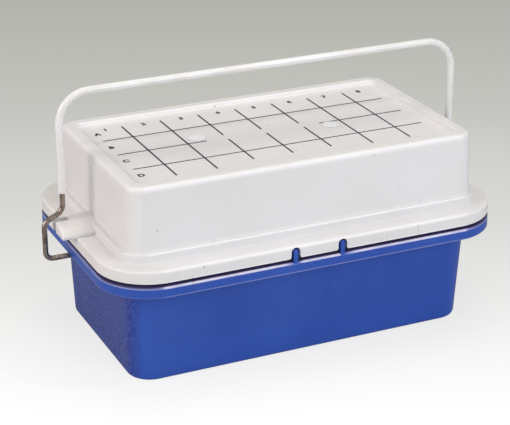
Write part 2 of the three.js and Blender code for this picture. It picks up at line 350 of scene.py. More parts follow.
def loft(name: str, rings: Sequence[Sequence[Vector]], closed: bool = False,
         glint_and_wear: Sequence[float] = ()) -> Piece:
    """A closed body through rings of points.

    Args:
        name: Name of the object.
        rings: Rings with the same number of points.
        closed: True joins the last ring to the first, False caps both.
        glint_and_wear: How strongly each ring carries a painted highlight, which also stands
            for slightly worn edges, full beside the long sides and weaker on the ends, kept
            in an attribute.

    Returns:
        The body, with a UV map of turns round a ring and metres from ring to ring.
    """
    work = bmesh.new()
    around = work.loops.layers.uv.new("surface")
    edge_glint = work.verts.layers.float.new(GLINT_WEAR_ATTRIBUTE)
    rows = [[work.verts.new(point) for point in ring] for ring in rings]
    # Painted highlight on the roundings: full beside the long sides, weaker round the corners
    # and ends
    for row, amount in zip(rows, glint_and_wear):
        side = max(vert.co.y for vert in row) - SEAM
        for vert in row:
            vert[edge_glint] = amount if abs(vert.co.y) > side else amount * END_GLINT_SHARE
    pairs = list(zip(rows, rows[1:]))
    if closed:
        pairs.append((rows[-1], rows[0]))
    count = len(rows[0])
    along = 0.0
    for low, high in pairs:
        step = (high[0].co - low[0].co).length
        for i in range(count):
            j = (i + 1) % count
            face = work.faces.new((low[i], low[j], high[j], high[i]))
            corners = ((i, along), (i + 1, along), (i + 1, along + step), (i, along + step))
            for loop, (turn, metres) in zip(face.loops, corners):
                loop[around].uv = (turn / count, metres)
        along += step
    if not closed:
        work.faces.new(reversed(rows[0]))
        work.faces.new(rows[-1])
    return object_from(name, work)


def moulding(name: str, levels: Sequence[Level]) -> Piece:
    """A body through the rounded corners of a section.

    Args:
        name: Name of the object.
        levels: The section's corners, from one end cap to the other.

    Returns:
        The body.
    """
    made = softened(levels)
    return loft(name, [level.outline.ring(level.height) for level in made],
                glint_and_wear=[level.glint_and_wear for level in made])


def prism(name: str, outline: Sequence[Pair], place: Callable, low: float,
          high: float) -> Piece:
    """A body with one outline, pushed from low to high.

    Args:
        name: Name of the object.
        outline: Points in the outline's own plane.
        place: Turns a point's two numbers and its depth into a Vector.
        low: Depth of the first face.
        high: Depth of the last face.

    Returns:
        The body.
    """
    return loft(name, [[place(u, v, depth) for u, v in outline] for depth in (low, high)])


def box(name: str, low: Vector, high: Vector) -> Piece:
    """A block between two corners, used as a cutter or joined to a body.

    Args:
        name: Name of the object.
        low: Lowest corner.
        high: Highest corner.

    Returns:
        The block.
    """
    outline = [(low.x, low.y), (high.x, low.y), (high.x, high.y), (low.x, high.y)]
    return prism(name, outline, lambda x, y, z: Vector((x, y, z)), low.z, high.z)


def turned(name: str, section: Sequence[Pair], centre: Vector) -> Piece:
    """A body turned about an upright axis.

    Args:
        name: Name of the object.
        section: Radius and height of each corner, from the lower cap to the upper.
        centre: Where its axis and its zero height are.

    Returns:
        The body.
    """
    rings = [[centre + Vector((radius * math.cos(a), radius * math.sin(a), height))
              for a in full_turn(RING_STEPS)] for radius, height in section]
    return loft(name, rings)


def round_edges(piece: Piece, radius: float, axis: int, place: float,
                reach: Callable = any) -> None:
    """Rounds the sharp edges of a simple body at one of its ends.

    Args:
        piece: The body.
        radius: Size of the rounding.
        axis: 0 where the end faces along X, 1 along Y.
        place: Where the end is on that axis.
        reach: Any takes every edge that touches the end, all only those within it.
    """
    work = bmesh.new()
    work.from_mesh(piece.data)
    edges = [edge for edge in work.edges
             if edge.calc_face_angle(0) > SHARP_ANGLE
             and reach(abs(vert.co[axis] - place) < SEAM for vert in edge.verts)]
    bmesh.ops.bevel(work, geom=edges, offset=radius, segments=4, affect="EDGES",
                    profile=0.5, clamp_overlap=True)
    work.to_mesh(piece.data)
    work.free()


def evaluated_mesh(piece: Piece) -> Mesh:
    """A plain mesh of what a piece's modifiers or its lettering make."""
    bpy.context.view_layer.update()
    graph = bpy.context.evaluated_depsgraph_get()
    return bpy.data.meshes.new_from_object(piece.evaluated_get(graph))


def bake_modifiers(piece: Piece) -> None:
    """Turns what a piece's modifiers make into its plain mesh.

    Args:
        piece: The piece, left with no modifier.
    """
    mesh = evaluated_mesh(piece)
    piece.modifiers.clear()
    old = piece.data
    piece.data = mesh
    mesh.name = piece.name
    if old.users == 0:
        bpy.data.meshes.remove(old)


def combine(body: Piece, others: Sequence[Piece], way: Joining) -> None:
    """Adds other bodies to a body, or cuts them from it, and removes them.

    Args:
        body: The body that changes.
        others: The bodies that go.
        way: Whether they are added or cut.
    """
    for index, other in enumerate(others):
        step = body.modifiers.new(f"join_{index}", "BOOLEAN")
        step.operation = way.value
        step.solver = "EXACT"
        step.object = other
    bake_modifiers(body)
    for other in others:
        bpy.data.objects.remove(other)


def finish_shape(piece: Piece, edge: float = 0.0) -> None:
    """Rounds what is still sharp, and shades the piece smooth between its edges.

    Args:
        piece: The piece.
        edge: Radius for edges left sharp, 0 for none.
    """
    if edge:
        bevel = piece.modifiers.new("ease", "BEVEL")
        bevel.width = edge
        bevel.segments = 2
        bevel.limit_method = "ANGLE"
        bevel.angle_limit = BEVEL_ANGLE
        bake_modifiers(piece)
    piece.data.shade_smooth()
    piece.data.set_sharp_from_angle(angle=SHADE_ANGLE)
    weights = piece.modifiers.new("weights", "WEIGHTED_NORMAL")
    weights.keep_sharp = True
    weights.weight = 90
    bake_modifiers(piece)


def bent_path(corners: Sequence[tuple[Vector, float]]) -> list[Vector]:
    """Rounds each inner corner of a path with its own bend radius.

    Args:
        corners: The corners and their radii. The first and last have none.

    Returns:
        Points along the path, evenly round each bend.
    """
    points = [corners[0][0]]
    for (before, _), (here, bend), (after, _) in zip(corners, corners[1:], corners[2:]):
        back = (before - here).normalized()
        ahead = (after - here).normalized()
        half = back.angle(ahead) / 2
        centre = here + (back + ahead).normalized() * (bend / math.sin(half))
        start = here + back * (bend / math.tan(half)) - centre
        end = here + ahead * (bend / math.tan(half)) - centre
        for step in range(BEND_STEPS + 1):
            spoke = start.slerp(end, step / BEND_STEPS).normalized() * bend
            points.append(centre + spoke)
    points.append(corners[-1][0])
    return points


def rod_rings(points: Sequence[Vector], radii: Sequence[float]) -> list[list[Vector]]:
    """Rings about a path that lies in the plane of X and Z.

    Args:
        points: The path.
        radii: The radius at each point.

    Returns:
        One ring a point.
    """
    across = Vector((0, 1, 0))
    rings = []
    for i, (point, radius) in enumerate(zip(points, radii)):
        before = points[max(i - 1, 0)]
        after = points[min(i + 1, len(points) - 1)]
        side = (after - before).normalized().cross(across)
        rings.append([point + (across * math.cos(a) + side * math.sin(a)) * radius
                      for a in full_turn(ROD_SIDES)])
    return rings


# Node trees

@dataclass
class Graph:
    """A node tree while it is being built.

    Attributes:
        tree: The tree that nodes are added to.
    """

    tree: NodeTree

    def node(self, kind: str, inputs: dict | None = None, **settings: object
             ) -> Node:
        """Adds a node.

        Args:
            kind: Its type.
            inputs: NodeSockets or plain values, by the name or number of the input.
            settings: Its own settings.

        Returns:
            The node.
        """
        made = self.tree.nodes.new(kind)
        for name, value in settings.items():
            setattr(made, name, value)
        self.feed(made, inputs or {})
        return made

    def feed(self, node: Node, inputs: dict) -> None:
        """Gives a node's inputs their sockets or plain values.

        Args:
            node: The node.
            inputs: NodeSockets or plain values, by the name or number of the input.
        """
        for key, value in inputs.items():
            if isinstance(value, NodeSocket):
                self.tree.links.new(value, node.inputs[key])
            else:
                node.inputs[key].default_value = value

    def group(self, tree: NodeTree, inputs: dict) -> Node:
        """Places a node group, with its sockets or plain values by name."""
        return self.node("ShaderNodeGroup", inputs, node_tree=tree)

    def math(self, operation: str, first: object, second: object = 0.0,
             clamp: bool = False) -> NodeSocket:
        """Adds a Math node and returns its result.

        Args:
            operation: What it does.
            first: Its first value or socket.
            second: Its second value or socket.
            clamp: True keeps the result from 0 to 1.

        Returns:
            The result's socket.
        """
        made = self.node("ShaderNodeMath", {0: first, 1: second}, operation=operation,
                         use_clamp=clamp)
        return made.outputs[0]

    def times(self, first: object, second: object) -> NodeSocket:
        """Adds a product and returns its result."""
        return self.math("MULTIPLY", first, second)

    def minus(self, first: object, second: object) -> NodeSocket:
        """Adds a difference and returns its result."""
        return self.math("SUBTRACT", first, second)

    def plus(self, first: object, second: object) -> NodeSocket:
        """Adds a sum and returns its result."""
        return self.math("ADD", first, second)

    def spread(self, value: object, low: object, high: object, to_low: object = 0.0,
               to_high: object = 1.0) -> NodeSocket:
        """Stretches a range of values to another, clamped.

        Args:
            value: What is stretched.
            low: Start of its range.
            high: End of its range.
            to_low: The result at low.
            to_high: The result at high.

        Returns:
            The result's socket.
        """
        made = self.node("ShaderNodeMapRange", {"Value": value, "From Min": low,
                                                "From Max": high, "To Min": to_low,
                                                "To Max": to_high})
        return made.outputs["Result"]

    def blend(self, share: object, first: object, second: object) -> NodeSocket:
        """Mixes two colours.

        Args:
            share: 0 for the first, 1 for the second.
            first: The first colour.
            second: The second colour.

        Returns:
            The colour's socket.
        """
        made = self.node("ShaderNodeMix", {0: share, 6: first, 7: second},
                         data_type="RGBA")
        return made.outputs[2]

    def noise(self, position: object, scale: object, detail: float, roughness: float
              ) -> NodeSocket:
        """Adds a noise texture and returns its value.

        Args:
            position: Where it is read.
            scale: Its scale.
            detail: Number of finer layers.
            roughness: Share of each finer layer.

        Returns:
            The value's socket.
        """
        made = self.node("ShaderNodeTexNoise", {"Vector": position, "Scale": scale,
                                                "Detail": detail,
                                                "Roughness": roughness})
        return made.outputs["Fac"]


def blank_graph(owner: Material | World) -> Graph:
    """Empties the node tree of a material or of the world, ready to be wired."""
    owner.use_nodes = True
    owner.node_tree.nodes.clear()
    return Graph(owner.node_tree)


def open_tree(name: str, family: str, inputs: Sequence[tuple[str, str, object]]
              ) -> tuple[Graph, dict]:
    """Starts a node group with named inputs.

    Args:
        name: Its name.
        family: Whether it is of shader or of geometry nodes.
        inputs: Name, kind and standing value of each input.

    Returns:
        The graph, and its input sockets by name.
    """
    tree = bpy.data.node_groups.new(name, family)
    for label, kind, value in inputs:
        socket = tree.interface.new_socket(name=label, in_out="INPUT", socket_type=kind)
        if value is not None:
            socket.default_value = value
    graph = Graph(tree)
    source = graph.node("NodeGroupInput")
    return graph, {label: source.outputs[label] for label, _, _ in inputs}


def close_tree(graph: Graph, results: dict, kinds: dict) -> NodeTree:
    """Ends a node group with named outputs.

    Args:
        graph: The group's graph.
        results: Socket that feeds each output, by the output's name.
        kinds: Kind of each output, by its name.

    Returns:
        The group's tree.
    """
    for label, kind in kinds.items():
        graph.tree.interface.new_socket(name=label, in_out="OUTPUT", socket_type=kind)
    graph.node("NodeGroupOutput", results)
    return graph.tree


FLOAT = "NodeSocketFloat"
VECTOR = "NodeSocketVector"
COLOUR = "NodeSocketColor"
WHOLE = "NodeSocketInt"
SHAPE = "NodeSocketGeometry"
COATING = "NodeSocketMaterial"
SHADING = "ShaderNodeTree"
SHAPING = "GeometryNodeTree"


class Effects:
    """Surface effects that several finishes share, each a group built once."""

    def __init__(self) -> None:
        """Builds every group."""
        self.grain = self._grain()
        self.drift = self._drift()
        self.glint_wear = self._edge_glint_wear()
        self.specks = self._specks()
        self.scuffs = self._scuffs()

    @staticmethod
    def _grain() -> NodeTree:
        """Fine texture of a moulded face, with slow waves in the wall."""
        graph, given = open_tree("moulded_grain", SHADING, [
            ("Position", VECTOR, None), ("Fine scale", FLOAT, 1400.0),
            ("Wave scale", FLOAT, 22.0), ("Fine share", FLOAT, 0.1)])
        fine = graph.noise(given["Position"], given["Fine scale"], 4.0, 0.6)
        wave = graph.noise(given["Position"], given["Wave scale"], 1.0, 0.4)
        height = graph.plus(graph.times(fine, given["Fine share"]), wave)
        return close_tree(graph, {"Height": height, "Fine": fine},
                          {"Height": FLOAT, "Fine": FLOAT})

    @staticmethod
    def _drift() -> NodeTree:
        """Slow change between two tones of one colour."""
        graph, given = open_tree("tone_drift", SHADING, [
            ("Position", VECTOR, None), ("Scale", FLOAT, 12.0),
            ("First", COLOUR, None), ("Second", COLOUR, None)])
        broad = graph.noise(given["Position"], given["Scale"], 4.0, 0.55)
        share = graph.spread(broad, 0.35, 0.65)
        colour = graph.blend(share, given["First"], given["Second"])
        return close_tree(graph, {"Colour": colour, "Mask": share},
                          {"Colour": COLOUR, "Mask": FLOAT})

    @staticmethod
    def _edge_glint_wear() -> NodeTree:
        """Painted highlight on outer edges, which also stands for slightly worn edges, broken
        up by noise.
        """
        graph, given = open_tree("edge_glint_and_wear", SHADING, [
            ("Position", VECTOR, None), ("Least", FLOAT, 0.65), ("Scale", FLOAT, 60.0)])
        edge = graph.node("ShaderNodeAttribute", attribute_name=GLINT_WEAR_ATTRIBUTE)
        patch = graph.noise(given["Position"], given["Scale"], 3.0, 0.6)
        broken = graph.spread(patch, 0.3, 0.55, given["Least"], 1.0)
        mask = graph.math("MULTIPLY", edge.outputs["Fac"], broken, clamp=True)
        return close_tree(graph, {"Mask": mask}, {"Mask": FLOAT})

    @staticmethod
    def _specks() -> NodeTree:
        """Small stray marks, one in some of the cells."""
        graph, given = open_tree("stray_specks", SHADING, [
            ("Position", VECTOR, None), ("Scale", FLOAT, 60.0), ("Size", FLOAT, 0.08),
            ("Share", FLOAT, 0.1)])
        cells = graph.node("ShaderNodeTexVoronoi", {"Vector": given["Position"],
                                                    "Scale": given["Scale"]})
        near = graph.spread(cells.outputs["Distance"], given["Size"], 0.0)
        parts = graph.node("ShaderNodeSeparateColor", {0: cells.outputs["Color"]})
        picked = graph.math("LESS_THAN", parts.outputs[0], given["Share"])
        mask = graph.math("MULTIPLY", near, picked, clamp=True)
        return close_tree(graph, {"Mask": mask}, {"Mask": FLOAT})

    @staticmethod
    def _scuffs() -> NodeTree:
        """Thin marks drawn out along one direction."""
        graph, given = open_tree("drawn_scuffs", SHADING, [
            ("Position", VECTOR, None), ("Stretch", VECTOR, (1.0, 1.0, 0.08)),
            ("Scale", FLOAT, 460.0), ("Threshold", FLOAT, 0.645)])
        drawn = graph.node("ShaderNodeVectorMath", {0: given["Position"],
                                                    1: given["Stretch"]},
                           operation="MULTIPLY")
        lines = graph.noise(drawn.outputs[0], given["Scale"], 2.0, 0.5)
        peaks = graph.spread(lines, given["Threshold"], 0.8)
        where = graph.noise(given["Position"], 25.0, 1.0, 0.5)
        some = graph.spread(where, 0.5, 0.62)
        mask = graph.math("MULTIPLY", peaks, some, clamp=True)
        return close_tree(graph, {"Mask": mask}, {"Mask": FLOAT})


@dataclass
class Surface:
    """A material while it is being built round its Principled shader.

    Attributes:
        name: Name of the material.
        material: The material.
        graph: Its node tree.
        shader: Its Principled shader.
        position: NodeSocket of the place on the piece.
    """

    name: str
    material: Material = field(init=False)
    graph: Graph = field(init=False)
    shader: Node = field(init=False)
    position: NodeSocket = field(init=False)

    def __post_init__(self) -> None:
        """Makes the empty material with its shader and output."""
        self.material = bpy.data.materials.new(self.name)
        self.graph = blank_graph(self.material)
        self.shader = self.graph.node("ShaderNodeBsdfPrincipled")
        self.graph.node("ShaderNodeOutputMaterial", {"Surface": self.shader.outputs[0]})
        where = self.graph.node("ShaderNodeTexCoord")
        self.position = where.outputs["Object"]

    def set(self, name: str, value: object) -> None:
        """Gives one input of the shader a socket or a plain value."""
        self.graph.feed(self.shader, {name: value})

    def bump(self, height: NodeSocket, depth: float) -> None:
        """Gives the surface its fine relief.

        Args:
            height: The relief, about 0 to 1.
            depth: Its depth in metres.
        """
        made = self.graph.node("ShaderNodeBump", {"Height": height, "Distance": depth,
                                                  "Strength": 1.0})
        self.set("Normal", made.outputs["Normal"])


# Finishes

@dataclass(frozen=True)
class Finish:
    """A finish that drifts between two tones.

    Attributes:
        name: Name of the material.
        tone: Main colour.
        second_tone: Colour that it drifts to.
    """

    name: str
    tone: Tone
    second_tone: Tone

    def build(self, effects: Effects) -> Material:
        """Builds the material.

        Args:
            effects: The shared groups.

        Returns:
            The material.
        """
        surface = Surface(self.name)
        self.coat(surface, effects)
        return surface.material

    def coat(self, surface: Surface, effects: Effects) -> None:
        """Wires the finish, which each kind does in its own way."""
        raise NotImplementedError

    def drift(self, surface: Surface, effects: Effects, scale: float) -> Node:
        """Adds the drift between the tones.

        Args:
            surface: The material so far.
            effects: The shared groups.
            scale: Scale of the patches.

        Returns:
            The drift's node.
        """
        return surface.graph.group(effects.drift, {
            "Position": surface.position, "Scale": scale, "First": linear(*self.tone),
            "Second": linear(*self.second_tone)})


@dataclass(frozen=True)
class MouldedPlastic(Finish):
    """Glossy moulded plastic with grain, tone drift, a painted highlight on its edges that
    also stands for slightly worn edges, and stray marks.

    Attributes:
        glint_tone: Colour of the painted highlight on edges.
        mark_tone: Colour of specks and scuffs.
        roughness: Roughness where it is clean.
        grain_depth: Depth of the relief.
        glint_share: How strongly the painted highlight on edges shows.
        marks: Share of cells that hold a speck.
        pebbled_from: Distance from the middle at which the end walls turn pebbled.
        pebbled_to: Height that the pebbled texture reaches.
        pebble_tone: Colour of the pebbles' tops.
        hollow_shade_tone: Darker colour between the pebbles, painted shade in the hollows of
            the relief.
        painted_shade_above: Height from which the ledge under the lid carries painted shade.
        painted_shade_within: How far from the long axis that painted shade reaches.
        painted_shade_tone: Colour of that painted shade.
        painted_shade_height: How tall that painted shade is.
        overlay: Share that the pebbles' colours and the painted shade on the ledge reach.
        gleam: Strength of the surface reflection.
    """

    glint_tone: Tone
    mark_tone: Tone
    roughness: float
    grain_depth: float
    glint_share: float = 0.6
    marks: float = 0.12
    pebbled_from: float = 0.0
    pebbled_to: float = 62 * MM
    pebble_tone: Tone = (62, 80, 162)
    hollow_shade_tone: Tone = (22, 42, 124)
    painted_shade_above: float = 0.0
    painted_shade_within: float = 0.0
    painted_shade_tone: Tone = (26, 24, 50)
    painted_shade_height: float = 2.2 * MM
    overlay: float = 0.85
    gleam: float = 0.5

    def coat(self, surface: Surface, effects: Effects) -> None:
        """Wires the finish.

        Args:
            surface: The material so far.
            effects: The shared groups.
        """
        graph, here = surface.graph, surface.position
        drift = self.drift(surface, effects, 14.0)
        grain = graph.group(effects.grain, {"Position": here})
        glint_wear = graph.group(effects.glint_wear, {"Position": here})
        specks = graph.group(effects.specks, {
            "Position": here, "Scale": 80.0, "Size": 0.07, "Share": self.marks})
        scuffs = graph.group(effects.scuffs, {"Position": here})
        # Painted highlight on edges, mixed towards the glint tone
        edge_glint = graph.times(glint_wear.outputs["Mask"], self.glint_share)
        colour = graph.blend(edge_glint, drift.outputs["Colour"], linear(*self.glint_tone))
        faint = graph.times(scuffs.outputs["Mask"], 0.5)
        marked = graph.math("MAXIMUM", specks.outputs["Mask"], faint)
        colour = graph.blend(graph.times(marked, 0.8), colour, linear(*self.mark_tone))
        height = grain.outputs["Height"]
        rough = graph.spread(grain.outputs["Fine"], 0.3, 0.7, self.roughness - 0.05,
                             self.roughness + 0.07)
        rough = graph.plus(rough, graph.times(marked, 0.2))
        if self.pebbled_from:
            colour, height = self._pebble(graph, here, colour, height)
        # Painted shade on the ledge under the lid's skirt
        if self.painted_shade_above:
            colour = self._painted_ledge_shade(graph, here, colour)
        surface.set("Base Color", colour)
        surface.set("Specular IOR Level", self.gleam)
        surface.set("Roughness", rough)
        surface.bump(height, self.grain_depth)

    def _pebble(self, graph: Graph, here: NodeSocket,
                colour: NodeSocket, height: NodeSocket
                ) -> tuple[NodeSocket, NodeSocket]:
        """Adds the pebbled texture of the end walls, with painted shade in its hollows.

        Args:
            graph: The material's graph.
            here: The position socket.
            colour: Colour so far.
            height: Relief so far.

        Returns:
            Colour and relief with the pebbles.
        """
        parts = graph.node("ShaderNodeSeparateXYZ", {0: here})
        out = graph.math("ABSOLUTE", parts.outputs["X"])
        past = graph.spread(out, self.pebbled_from, self.pebbled_from + 6 * MM)
        below = graph.spread(parts.outputs["Z"], self.pebbled_to, self.pebbled_to - 2 * MM)
        ends = graph.times(past, below)
        lumps = graph.noise(here, 620.0, 3.0, 0.65)
        pebbles = graph.times(lumps, ends)
        high = graph.plus(height, graph.times(pebbles, 4.0))
        # Painted shade: the colour darkens where the relief is low
        mottled = graph.blend(graph.spread(lumps, 0.4, 0.6), linear(*self.hollow_shade_tone),
                              linear(*self.pebble_tone))
        tone = graph.blend(graph.times(ends, self.overlay), colour, mottled)
        return tone, high

    def _painted_ledge_shade(self, graph: Graph, here: NodeSocket,
              colour: NodeSocket) -> NodeSocket:
        """Paints shade on the ledge that the lid's skirt hangs over.

        Args:
            graph: The material's graph.
            here: The position socket.
            colour: Colour so far.

        Returns:
            The colour with the painted shade.
        """
        parts = graph.node("ShaderNodeSeparateXYZ", {0: here})
        along = graph.minus(graph.math("ABSOLUTE", parts.outputs["X"]), LENGTH_OVER_WIDTH)
        out = graph.math("MAXIMUM", along, graph.math("ABSOLUTE", parts.outputs["Y"]))
        within = graph.spread(out, self.painted_shade_within, self.painted_shade_within - 0.6 * MM)
        above = graph.spread(parts.outputs["Z"], self.painted_shade_above,
                             self.painted_shade_above + 0.4 * MM)
        top = self.painted_shade_above + self.painted_shade_height
        under = graph.spread(parts.outputs["Z"], top, top - 1.0 * MM)
        mask = graph.times(within, graph.times(above, under))
        return graph.blend(graph.times(mask, self.overlay), colour, linear(*self.painted_shade_tone))


@dataclass(frozen=True)
class DrawnWire(Finish):
    """Drawn steel wire, dull brown-grey and stained in patches, with fine lines along it.

    Attributes:
        roughness: Mean roughness.
        line_scale: Scale of the lines, round the wire and along it.
    """

    roughness: float
    line_scale: tuple[float, float, float] = (60.0, 40.0, 1.0)

    def coat(self, surface: Surface, effects: Effects) -> None:
        """Wires the finish.

        Args:
            surface: The material so far.
            effects: The shared groups.
        """
        graph = surface.graph
        flat = graph.node("ShaderNodeUVMap", uv_map="surface").outputs[0]
        drawn = graph.node("ShaderNodeMapping", {"Vector": flat,
                                                 "Scale": self.line_scale})
        lines = graph.noise(drawn.outputs[0], 1.0, 3.0, 0.6)
        drift = self.drift(surface, effects, 260.0)
        shade = graph.spread(lines, 0.35, 0.7, 0.0, 0.5)
        surface.set("Base Color", graph.blend(shade, drift.outputs["Colour"],
                                              linear(*self.second_tone)))
        surface.set("Roughness", graph.spread(lines, 0.3, 0.7, self.roughness - 0.08,
                                              self.roughness + 0.12))
        surface.set("Metallic", 1.0)
        surface.bump(lines, 0.03 * MM)


@dataclass(frozen=True)
class SoftVinyl(Finish):
    """Milky vinyl tube, glossy, a little darker where it is handled.

    Attributes:
        roughness: Roughness where it is clean.
    """

    roughness: float

    def coat(self, surface: Surface, effects: Effects) -> None:
        """Wires the finish.

        Args:
            surface: The material so far.
            effects: The shared groups.
        """
        graph, here = surface.graph, surface.position
        drift = self.drift(surface, effects, 45.0)
        grain = graph.group(effects.grain, {
            "Position": here, "Fine scale": 900.0, "Wave scale": 120.0})
        surface.set("Base Color", drift.outputs["Colour"])
        surface.set("Roughness", graph.spread(drift.outputs["Mask"], 0.0, 1.0,
                                              self.roughness, self.roughness + 0.15))
        surface.set("Coat Weight", 0.3)
        surface.set("Coat Roughness", 0.1)
        surface.bump(grain.outputs["Height"], 0.12 * MM)


@dataclass(frozen=True)
class PrintInk(Finish):
    """Screen-printed ink, which shows its second tone where it is thin."""

    def coat(self, surface: Surface, effects: Effects) -> None:
        """Wires the finish.

        Args:
            surface: The material so far.
            effects: The shared groups.
        """
        graph, here = surface.graph, surface.position
        drift = self.drift(surface, effects, 700.0)
        grain = graph.group(effects.grain, {"Position": here,
                                                     "Fine scale": 3000.0})
        surface.set("Base Color", drift.outputs["Colour"])
        surface.set("Roughness", graph.spread(drift.outputs["Mask"], 0.0, 1.0, 0.45, 0.6))
        surface.bump(grain.outputs["Fine"], 0.01 * MM)


@dataclass(frozen=True)
class CoolantGel(Finish):
    """Cloudy frozen gel with small bubbles of the second tone."""

    def coat(self, surface: Surface, effects: Effects) -> None:
        """Wires the finish.

        Args:
            surface: The material so far.
            effects: The shared groups.
        """
        graph, here = surface.graph, surface.position
        bubbles = graph.group(effects.specks, {
            "Position": here, "Scale": 260.0, "Size": 0.3, "Share": 0.4})
        cloud = self.drift(surface, effects, 30.0)
        surface.set("Base Color", graph.blend(bubbles.outputs["Mask"],
                                              cloud.outputs["Colour"],
                                              linear(*self.second_tone)))
        surface.set("Roughness", graph.spread(cloud.outputs["Mask"], 0.0, 1.0, 0.2, 0.4))
        surface.set("Coat Weight", 0.2)
        surface.bump(bubbles.outputs["Mask"], 0.2 * MM)


# The tub's pale edge tone is a painted highlight along its edges, strongest on the ledge's
# outer edge, and its purple-grey ledge tone is painted shade under the lid's skirt
BLUE_TUB = MouldedPlastic("blue_polyethylene", (51, 87, 176), (45, 80, 169),
                          (226, 222, 240), (24, 34, 80), 0.24, 0.12 * MM,
                          glint_share=0.9, marks=0.05, pebbled_from=104.5 * MM,
                          painted_shade_above=68.3 * MM, painted_shade_within=78.6 * MM,
                          painted_shade_tone=(84, 72, 100), gleam=0.28)
# The lid's near-white edge tone is a painted highlight along its edges, strongest on the
# skirt's lower edge
WHITE_LID = MouldedPlastic("white_polyethylene", (225, 225, 226), (220, 219, 219),
                           (252, 253, 255), (104, 96, 90), 0.36, 0.14 * MM,
                           glint_share=0.9, marks=0.5)
PALE_CAP = MouldedPlastic("pale_cap", (238, 240, 242), (232, 234, 238), (244, 245, 246),
                          (150, 145, 140), 0.3, 0.08 * MM, marks=0.02)
TRAY_PLASTIC = MouldedPlastic("tray_polyethylene", (228, 228, 224), (222, 222, 217),
                              (240, 240, 238), (150, 145, 135), 0.38, 0.1 * MM)
WIRE = DrawnWire("drawn_steel", (196, 182, 170), (128, 114, 103), 0.3)
VINYL = SoftVinyl("milky_vinyl", (232, 232, 232), (222, 221, 219), 0.22)
INK = PrintInk("printed_ink", (36, 28, 56), (56, 48, 76))
GEL = CoolantGel("frozen_gel", (156, 200, 220), (196, 222, 234))


# Pieces

def dress(piece: Piece, material: Material, body: Body,
          replaced: Sequence[str] = ()) -> None:
    """Gives a finished piece its material and its place in the frame.

    Args:
        piece: The piece.
        material: Its finish.
        body: The body it rides on.
        replaced: CAD nodes that it stands for.
    """
    piece.data.materials.clear()
    piece.data.materials.append(material)
    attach(piece, body.value)
    if replaced:
        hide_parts(*replaced)
    LOG.info("%s: %d faces", piece.name, len(piece.data.polygons))


def both_ends(make: Callable[[End], Piece]) -> list[Piece]:
    """Makes a thing at the right-hand end and again at the left-hand end."""
    return [make(End.RIGHT), make(End.LEFT)]


@dataclass
class FillPlug:
    """The plugs that close the filling holes of the tub and the lid.

    Attributes:
        offset_x: Distance of each hole from the middle, along the cooler.
        offset_y: How far the left-hand hole is behind the middle, and the other before.
        hole_radius: Radius of the holes.
        cap_radius: Radius of the cap that lies on a lid panel.
        cap_height: Height of that cap's edge.
        cap_edge: Width of the cap's rounded edge.
        cap_rise: Share of the cap's height at which it is widest.
        cap_dome: Shares of the cap's radius and height, towards its crown.
        ease: Size of the eased edges of a tub plug.
        dish: Shares of a tub plug's radius and of the ease, out from its middle.
    """

    offset_x: float = 42 * MM
    offset_y: float = 6.2 * MM
    hole_radius: float = 4.5 * MM
    cap_radius: float = 5.3 * MM
    cap_height: float = 0.35 * MM
    cap_edge: float = 0.4 * MM
    cap_rise: float = 0.4
    cap_dome: tuple[Pair, ...] = ((0.6, 1.25), (0.2, 1.35))
    ease: float = 0.4 * MM
    dish: tuple[Pair, ...] = ((0.15, 2.0), (0.6, 1.6), (0.75, 0.0))

    def centre(self, end: End) -> Vector:
        """Place of one plug's axis."""
        return Vector((end * self.offset_x, -end * self.offset_y, 0))

    def hole(self, end: End, low: float, high: float) -> Piece:
        """Cutter for one hole.

        Args:
            end: Which hole.
            low: Underside of the wall.
            high: Upper side of the wall.

        Returns:
            The cutter.
        """
        section = [(self.hole_radius, low - OVERSHOOT), (self.hole_radius, high + OVERSHOOT)]
        return turned(f"plug_hole_{end}", section, self.centre(end))

    def lid_plug(self, name: str, node: str, end: End, panel: float) -> Piece:
        """One plug of the lid, with a low domed cap on the panel.

        Args:
            name: Name of the piece.
            node: The CAD plug it stands for.
            end: Which plug.
            panel: Height of the panel's upper side.

        Returns:
            The plug.
        """
        low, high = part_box(node)
        stem = (high.x - low.x) / 2
        dome = self.cap_height
        section = [(stem * 0.2, low.z), (stem - dome, low.z), (stem, low.z + dome),
                   (stem, panel + SEAM),
                   (self.cap_radius - self.cap_edge / 4, panel + SEAM),
                   (self.cap_radius, panel + SEAM + self.cap_rise * dome),
                   (self.cap_radius - self.cap_edge, panel + dome)]
        section += [(self.cap_radius * out, panel + dome * up)
                    for out, up in self.cap_dome]
        return turned(name, section, self.centre(end))

    def base_plug(self, name: str, node: str, end: End) -> Piece:
        """One plug of the tub, with a dished underside.

        Args:
            name: Name of the piece.
            node: The CAD plug it stands for.
            end: Which plug.

        Returns:
            The plug.
        """
        low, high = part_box(node)
        stem = (high.x - low.x) / 2
        section = [(stem * out, low.z + self.ease * up) for out, up in self.dish]
        section += [(stem - self.ease, low.z), (stem, low.z + self.ease),
                    (stem, high.z - self.ease), (stem - self.ease, high.z),
                    (stem * 0.2, high.z)]
        return turned(name, section, self.centre(end))


